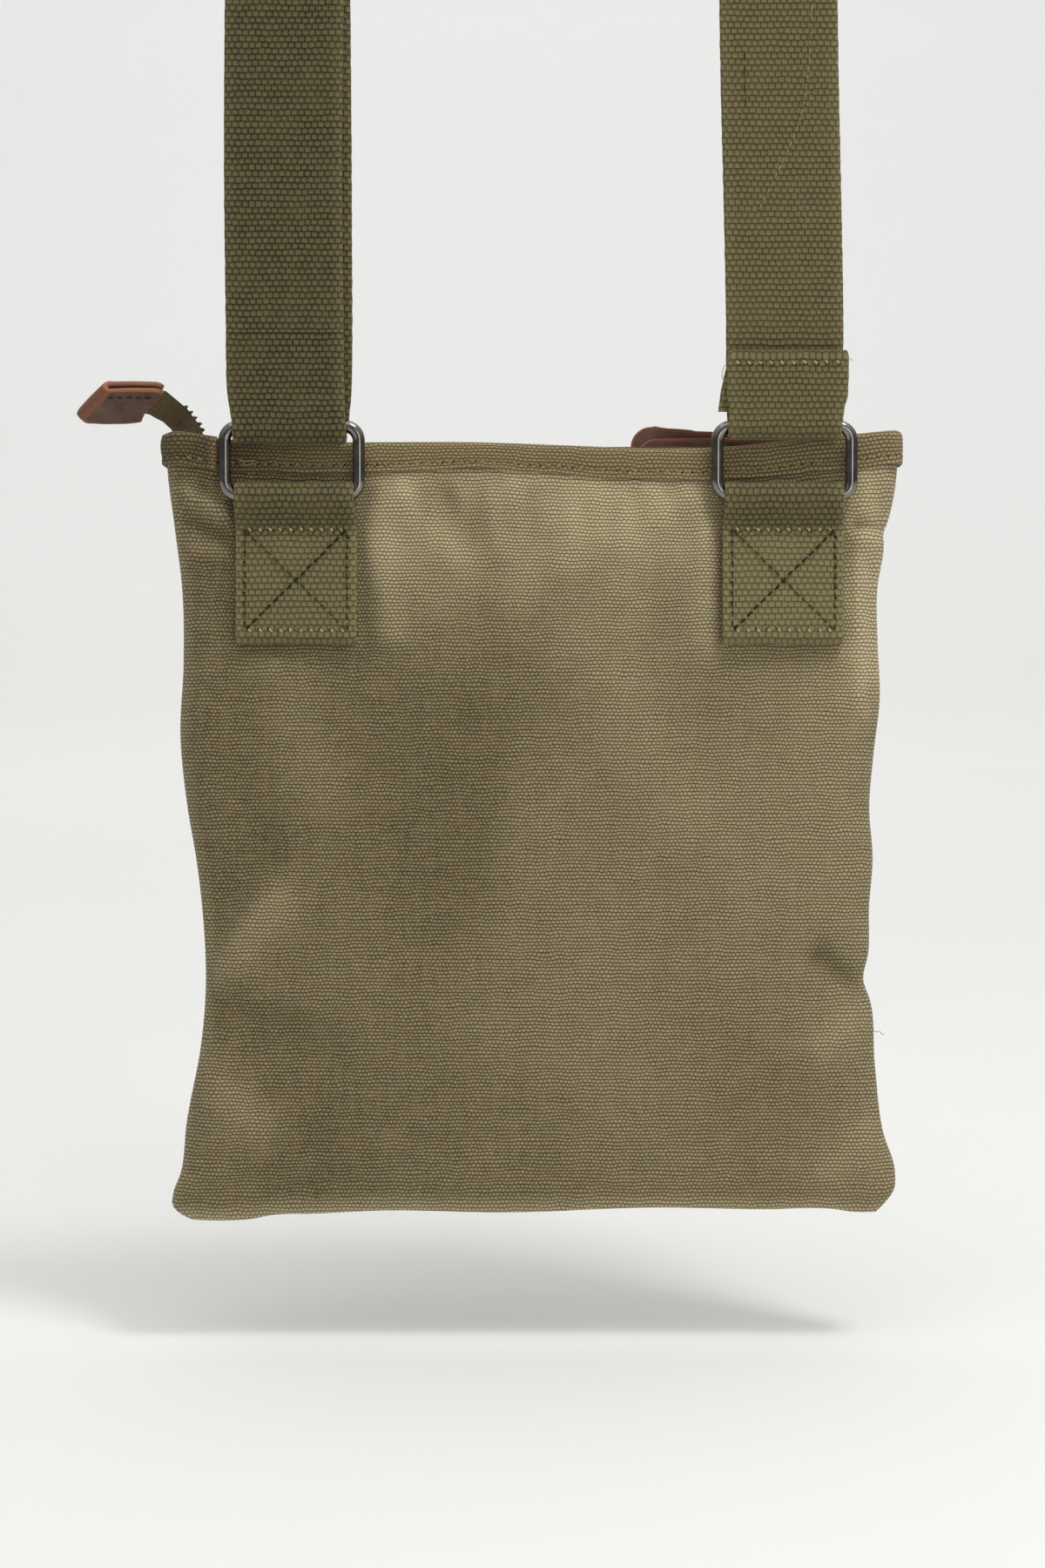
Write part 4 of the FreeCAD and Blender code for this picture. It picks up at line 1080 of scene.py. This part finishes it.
# Outline of the cap in its own plane: x, and height along the plane from CAP_MID_Z
CAP_TOP = [(-138.6, 5.9), (-130.0, 6.1), (-122.4, 5.9), (-120.6, 5.2)]
CAP_BOTTOM = [(-146.0, -5.7), (-140.0, -6.1), (-132.0, -6.0), (-128.2, -5.6)]
CAP_LEFT = [(-146.0, -5.7), (-147.3, -4.2), (-143.2, 0.8), (-138.6, 5.9)]
CAP_RIGHT = [(-128.2, -5.6), (-127.1, -2.8), (-124.0, 1.2), (-120.6, 5.2)]


def curve_at(points, t):
    """Point of a line through flat points, at the share t of its length."""
    points = np.asarray(points, float)
    length = travel(points)
    at = np.asarray(t) * length[-1]
    return np.stack([np.interp(at, length, points[:, k]) for k in range(2)], axis=-1)


def coons(u, v):
    """Point of the cap's outline patch: u from left to right, v from bottom to top."""
    low, top = curve_at(CAP_BOTTOM, u), curve_at(CAP_TOP, u)
    left, right = curve_at(CAP_LEFT, v), curve_at(CAP_RIGHT, v)
    c00, c10 = np.array(CAP_BOTTOM[0]), np.array(CAP_BOTTOM[-1])
    c01, c11 = np.array(CAP_TOP[0]), np.array(CAP_TOP[-1])
    return ((1 - v) * low + v * top + (1 - u) * left + u * right
            - ((1 - u) * (1 - v) * c00 + u * (1 - v) * c10 + (1 - u) * v * c01 + u * v * c11))


CAP_GAP = 1.9                       # from the cap's middle plane to the middle of each leaf
CAP_T = 2.3
FOLD_FROM = 0.1                     # share of the cap's width that its round fold takes


def zip_end_cap():
    """Leather folded round the tail's end: two leaves joined by a round fold at the left."""
    us = np.linspace(1, FOLD_FROM, 24)
    fold_steps = 11
    rows = 24
    cols = 2 * len(us) + fold_steps
    flat = np.zeros((rows, cols, 3))
    for r, v in enumerate(np.linspace(0, 1, rows)):
        for c, u in enumerate(us):
            x, up = coons(u, v)
            puff = CAP_GAP + 0.3 * math.sin(math.pi * v) * (1 - 0.4 * u) - 0.25 * u
            flat[r, c] = (x, -puff, up)
            flat[r, cols - 1 - c] = (x, puff, up)
        edge, tip = coons(FOLD_FROM, v), coons(0.0, v)
        puff = -flat[r, len(us) - 1, 1]
        for k in range(fold_steps):
            angle = math.pi * (k + 1) / (fold_steps + 1)
            x, up = edge + (tip - edge) * math.sin(angle)
            flat[r, len(us) + k] = (x, -puff * math.cos(angle), up)
    wear_and_painted_light = np.zeros((rows, cols))
    wear_and_painted_light[:, len(us) - 1:len(us) + fold_steps + 1] = 0.6
    middle = lean(flat[..., 0], flat[..., 1], flat[..., 2])
    cap = sheet("zip_end_cap_leather", middle, CAP_T, LEATHER, "tail", wear_and_painted_light=wear_and_painted_light, worn_edge=0.95,
                edge_steps=5)
    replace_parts(cap, "zip_end_cap")


def cap_stitches():
    """One row near the cap's top edge, on both leaves."""
    lines = []
    for sign in (-1, 1):
        ups = np.array([coons(u, 0.84) for u in np.linspace(0.12, 0.93, 20)])
        out = sign * (CAP_GAP + CAP_T / 2 + 0.12)
        lines.append((lean(ups[:, 0], np.full(20, out), ups[:, 1]),
                      (0, sign * math.cos(CAP_TILT), sign * math.sin(CAP_TILT))))
    stitches("cap_stitches", lines, "tail", DARK_THREAD, pitch=2.6, seed=31, slot="leather", radius=0.24)


POCKET_RIGHT, POCKET_LOW = 102.0, -104.0
POCKET_CORNER = 8.0
PLY_T = 2.3
PLY_TOP = {"near": [(30, 4.3), (58, 4.3), (75, 4.1), (102, 4.0)],
           "far": [(30, 8.8), (38, 8.6), (58, 7.4), (75, 6.9), (102, 6.6)]}
PLY_LEFT = {"near": 33.6, "far": 32.0}


def pocket_grid(ply, rows=70, cols=50):
    """Middle surface of a ply, with rounded corners, and its wear with a painted highlight along the top
    edge.
    """
    left, right, low = PLY_LEFT[ply], POCKET_RIGHT, POCKET_LOW
    inset = PLY_T / 2
    share = 0.5 - 0.5 * np.cos(math.pi * np.linspace(0, 1, cols))
    down = 0.5 - 0.5 * np.cos(math.pi * np.linspace(0, 1, rows))
    z = np.repeat((-inset + down * (low + 2 * inset))[:, None], cols, axis=1)
    r = POCKET_CORNER - inset
    tall = np.minimum(-inset - z, z - (low + inset))
    cut = np.where(tall < r, r - np.sqrt(np.maximum(r * r - (r - tall) ** 2, 0)), 0)
    x = left + inset + cut + (right - left - 2 * (inset + cut)) * share[None, :]
    seat = front_surface(x, np.minimum(z, -12)) + 0.95 * ease((z + 14) / 4)
    y = seat + 0.15 + PLY_T / 2
    if ply == "far":
        away = np.minimum(np.minimum(x - left, right - x), z - low)
        y = y + PLY_T - 0.2 + 4.6 * ease((away - 5) / 16) + 0.5 * wobble(x, z, 40, 6.0)
        y = y + 0.9 * ease((z + 30) / 30)
    else:
        y = y + 0.1 * wobble(x, z, 30, 5.0)
    wear_and_painted_light = 0.25 + 0.25 * wobble(x, z, 12, 3.0)
    # Pale band along the top edge: a rubbed edge, made paler as a painted highlight where the rounded top is
    # lit from above.
    wear_and_painted_light = np.maximum(wear_and_painted_light, 1 - ease((-z - 1.5) / 1.2))
    z = z + smooth_curve(PLY_TOP[ply], x) * ease((z - low) / 80)
    return np.stack([x, y, z], axis=-1), np.clip(wear_and_painted_light, 0, 1)


def pocket_ply(name, node, ply):
    middle, wear_and_painted_light = pocket_grid(ply)
    leather = sheet(name, middle[:, ::-1], PLY_T, LEATHER, "bag", wear_and_painted_light=wear_and_painted_light[:, ::-1],
                    worn_edge=0.9, edge_steps=5)
    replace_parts(leather, node)


def pocket_stitches():
    """Row of stitches round the pocket's sides and bottom, through both plies."""
    middle, _ = pocket_grid("far", 90, 60)
    middle = middle[4:-5, 4:-4]
    path = np.concatenate([middle[:, 0], middle[-1], middle[::-1, -1]])
    path = path + np.array([0, PLY_T / 2 + 0.02, 0])
    stitches("pocket_stitches", [(path, (0, 1, 0))], "bag", THREAD, pitch=3.2, seed=41, slot="leather",
             radius=0.28)


# ---------------------------------------------------------------- stray yarns

def stray_threads():
    """Frayed yarns and loose ends at the strip's lap, at the side and at the strap's fold."""
    y = BACK_Y - 1.9
    fray = []
    rng = random.Random(17)
    for k in range(16):
        z = -0.8 - k * 0.58
        reach = rng.uniform(0.8, 1.7)
        fray.append([(LAP_X - 0.3, y, z), (LAP_X + reach * 0.5, y - 0.3, z + rng.uniform(-0.4, 0.4)),
                     (LAP_X + reach, y - rng.uniform(0.1, 0.5), z + rng.uniform(-0.8, 0.6))])
    loose_threads("binding_frayed_yarns", fray, "bag")
    loose = [[(LAP_X + 7.4, y + 0.7, -5.6), (LAP_X + 9.5, y + 0.4, -6.4), (LAP_X + 13.0, y + 0.5, -5.9)],
             [(LAP_X + 7.8, y + 0.7, -7.2), (LAP_X + 9.6, y + 0.3, -7.7), (LAP_X + 12.2, y + 0.5, -7.1)]]
    loose_threads("binding_loose_yarns", loose, "bag", radius=0.17, material=THREAD)
    right = [(109.2, 10.5, -189.0), (110.6, 9.0, -190.2), (111.7, 8.2, -189.4), (112.4, 8.0, -191.0),
             (113.2, 8.4, -190.4)]
    loose_threads("side_loose_yarn", [right], "bag", material=THREAD)
    x, z = RING_RIGHT_X, BAR_Z
    end = [[(x + 18.8, -3.6, z + 21.0), (x + 20.6, -4.1, z + 21.8), (x + 21.4, -4.0, z + 20.6)],
           [(x - 18.6, -1.6, z + 20.0), (x - 20.0, -1.9, z + 18.6), (x - 20.4, -1.8, z + 16.0),
            (x - 19.4, -1.7, z + 14.2)]]
    loose_threads("strap_loose_yarns", end, "strap", material=THREAD)


# ---------------------------------------------------------------- put together

def metal_nodes():
    """CAD pieces that stay as they are take their finish here."""
    for slot, material, nodes in (
            ("ring_metal", RING_METAL, ("ring_left", "ring_right", "adjuster_slide")),
            ("zip_metal", ZIP_METAL, ("zip_teeth_back", "zip_teeth_front", "zip_stop", "zip_slider",
                                      "zip_pull"))):
        for node in nodes:
            obj = frame["nodes"][node]
            obj.data.materials.clear()
            obj.data.materials.append(material)


# ---------------------------------------------------------------- stage, light and camera, in metres

FLOOR_Z = -0.81
FLOOR_FRONT = -3.0
FLOOR_BACK = 3.0                    # where the floor starts to curve up into the wall
SWEEP_R = 0.9
SWEEP_HALF_W = 5.0
WALL_TOP = 4.0


def sweep():
    """Pale seamless floor and wall."""
    pale = Shader("pale_paper")
    place = pale.node("ShaderNodeTexCoord").outputs["Object"]
    height = pale.node("ShaderNodeSeparateXYZ", {0: place}).outputs[2]
    floor = pale.mix(pale.noise(place, 3.0, 2.0), (0.77, 0.772, 0.76, 1), (0.79, 0.792, 0.782, 1))
    tint = pale.mix(pale.span(height, FLOOR_Z + 0.02, FLOOR_Z + 0.9), floor, (0.9, 0.905, 0.9, 1))
    pale.finish(tint, 0.9, Specular_IOR_Level=0.1)
    curve = [(FLOOR_FRONT, FLOOR_Z)]
    curve += [(FLOOR_BACK + math.sin(a) * SWEEP_R, FLOOR_Z + SWEEP_R - math.cos(a) * SWEEP_R)
              for a in np.linspace(0, math.pi / 2, 12)]
    curve += [(FLOOR_BACK + SWEEP_R, WALL_TOP)]
    n = len(curve)
    mesh = bpy.data.meshes.new("sweep")
    mesh.from_pydata([(x, y, z) for x in (-SWEEP_HALF_W, SWEEP_HALF_W) for y, z in curve], [],
                     [(i, i + n, i + n + 1, i + 1) for i in range(n - 1)])
    mesh.polygons.foreach_set("use_smooth", [True] * len(mesh.polygons))
    mesh.materials.append(pale.material)
    obj = bpy.data.objects.new("sweep", mesh)
    bpy.context.scene.collection.objects.link(obj)


def soft_room():
    """Light from all round, brighter from above than from below."""
    world = bpy.data.worlds.new("soft_room")
    bpy.context.scene.world = world
    world.use_nodes = True
    sky = world.node_tree
    up = sky.nodes.new("ShaderNodeSeparateXYZ")
    sky.links.new(sky.nodes.new("ShaderNodeTexCoord").outputs["Generated"], up.inputs[0])
    glow = sky.nodes.new("ShaderNodeMapRange")
    for key, value in (("From Min", 0.05), ("From Max", 0.75), ("To Min", 0.14), ("To Max", 0.8)):
        glow.inputs[key].default_value = value
    sky.links.new(up.outputs[2], glow.inputs["Value"])
    sky.nodes["Background"].inputs["Color"].default_value = (1.0, 0.995, 0.98, 1)
    sky.links.new(glow.outputs[0], sky.nodes["Background"].inputs["Strength"])


def aimed(name, data, at, aim):
    """New lamp or camera at a place, pointed at another."""
    obj = bpy.data.objects.new(name, data)
    obj.location = at
    obj.rotation_mode = "QUATERNION"
    obj.rotation_quaternion = (Vector(aim) - Vector(at)).to_track_quat("-Z", "Y")
    bpy.context.scene.collection.objects.link(obj)
    return obj


def area(name, at, aim, size, power):
    light = bpy.data.lights.new(name, "AREA")
    light.shape = "RECTANGLE"
    light.size, light.size_y = size
    light.energy = power
    aimed(name, light, at, aim)


def lights():
    area("overhead", (0.0, -0.2, 1.6), (0.0, -0.1, -0.8), (3.0, 3.0), 21)
    area("key", (0.5, -0.45, 0.6), (0, 0, -0.62), (0.35, 0.35), 7.0)
    area("strip", (0.45, -1.3, -0.6), (0, 0, -0.55), (0.4, 1.1), 3.2)
    area("wall_wash", (0.0, 2.0, 1.9), (0, FLOOR_BACK + SWEEP_R, 0.2), (3.0, 0.8), 32)


def camera():
    """Camera a little above the bag, on its wearer side."""
    lens = bpy.data.cameras.new("camera")
    lens.lens = 85
    lens.sensor_width = 36
    lens.clip_end = 20
    target = Vector((-0.0035, 0, -0.630))
    distance, rise = 1.196, math.radians(5)
    place = target + distance * Vector((0, -math.cos(rise), math.sin(rise)))
    bpy.context.scene.camera = aimed("camera", lens, place, target)
    bpy.context.scene.view_settings.view_transform = "Standard"


make_panel("back_panel_cloth", -1, "back_panel", CANVAS)
make_panel("front_panel_cloth", 1, "front_panel", CANVAS)
make_panel("lining_back_cloth", -1, "lining_back", LINING, CANVAS_T + 0.05, 0.45, 60, 60)
make_panel("lining_front_cloth", 1, "lining_front", LINING, CANVAS_T + 0.05, 0.45, 60, 60)
mouth_binding()
binding_stitches()
# The right tab's larger pale share, 0.85 against 0.6, is painted light from the right.
anchor_tab("anchor_tab_left_webbing", "anchor_tab_left", -76.2, -0.6, 0.6)
anchor_tab("anchor_tab_right_webbing", "anchor_tab_right", 80.1, 0.3, 0.85)
tab_stitches("tab_left_stitches", -76.2)
tab_stitches("tab_right_stitches", 80.3)
shoulder_strap()
return_run()
sewn_end()
strap_sewing()
zip_tape("zip_tape_back_weave", "zip_tape_back", -1)
zip_tape("zip_tape_front_weave", "zip_tape_front", 1)
zip_tail()
tail_teeth()
zip_end_cap()
cap_stitches()
pocket_ply("pocket_back_leather", "pocket_back_ply", "near")
pocket_ply("pocket_front_leather", "pocket_front_ply", "far")
pocket_stitches()
stray_threads()
metal_nodes()
sweep()
soft_room()
lights()
camera()
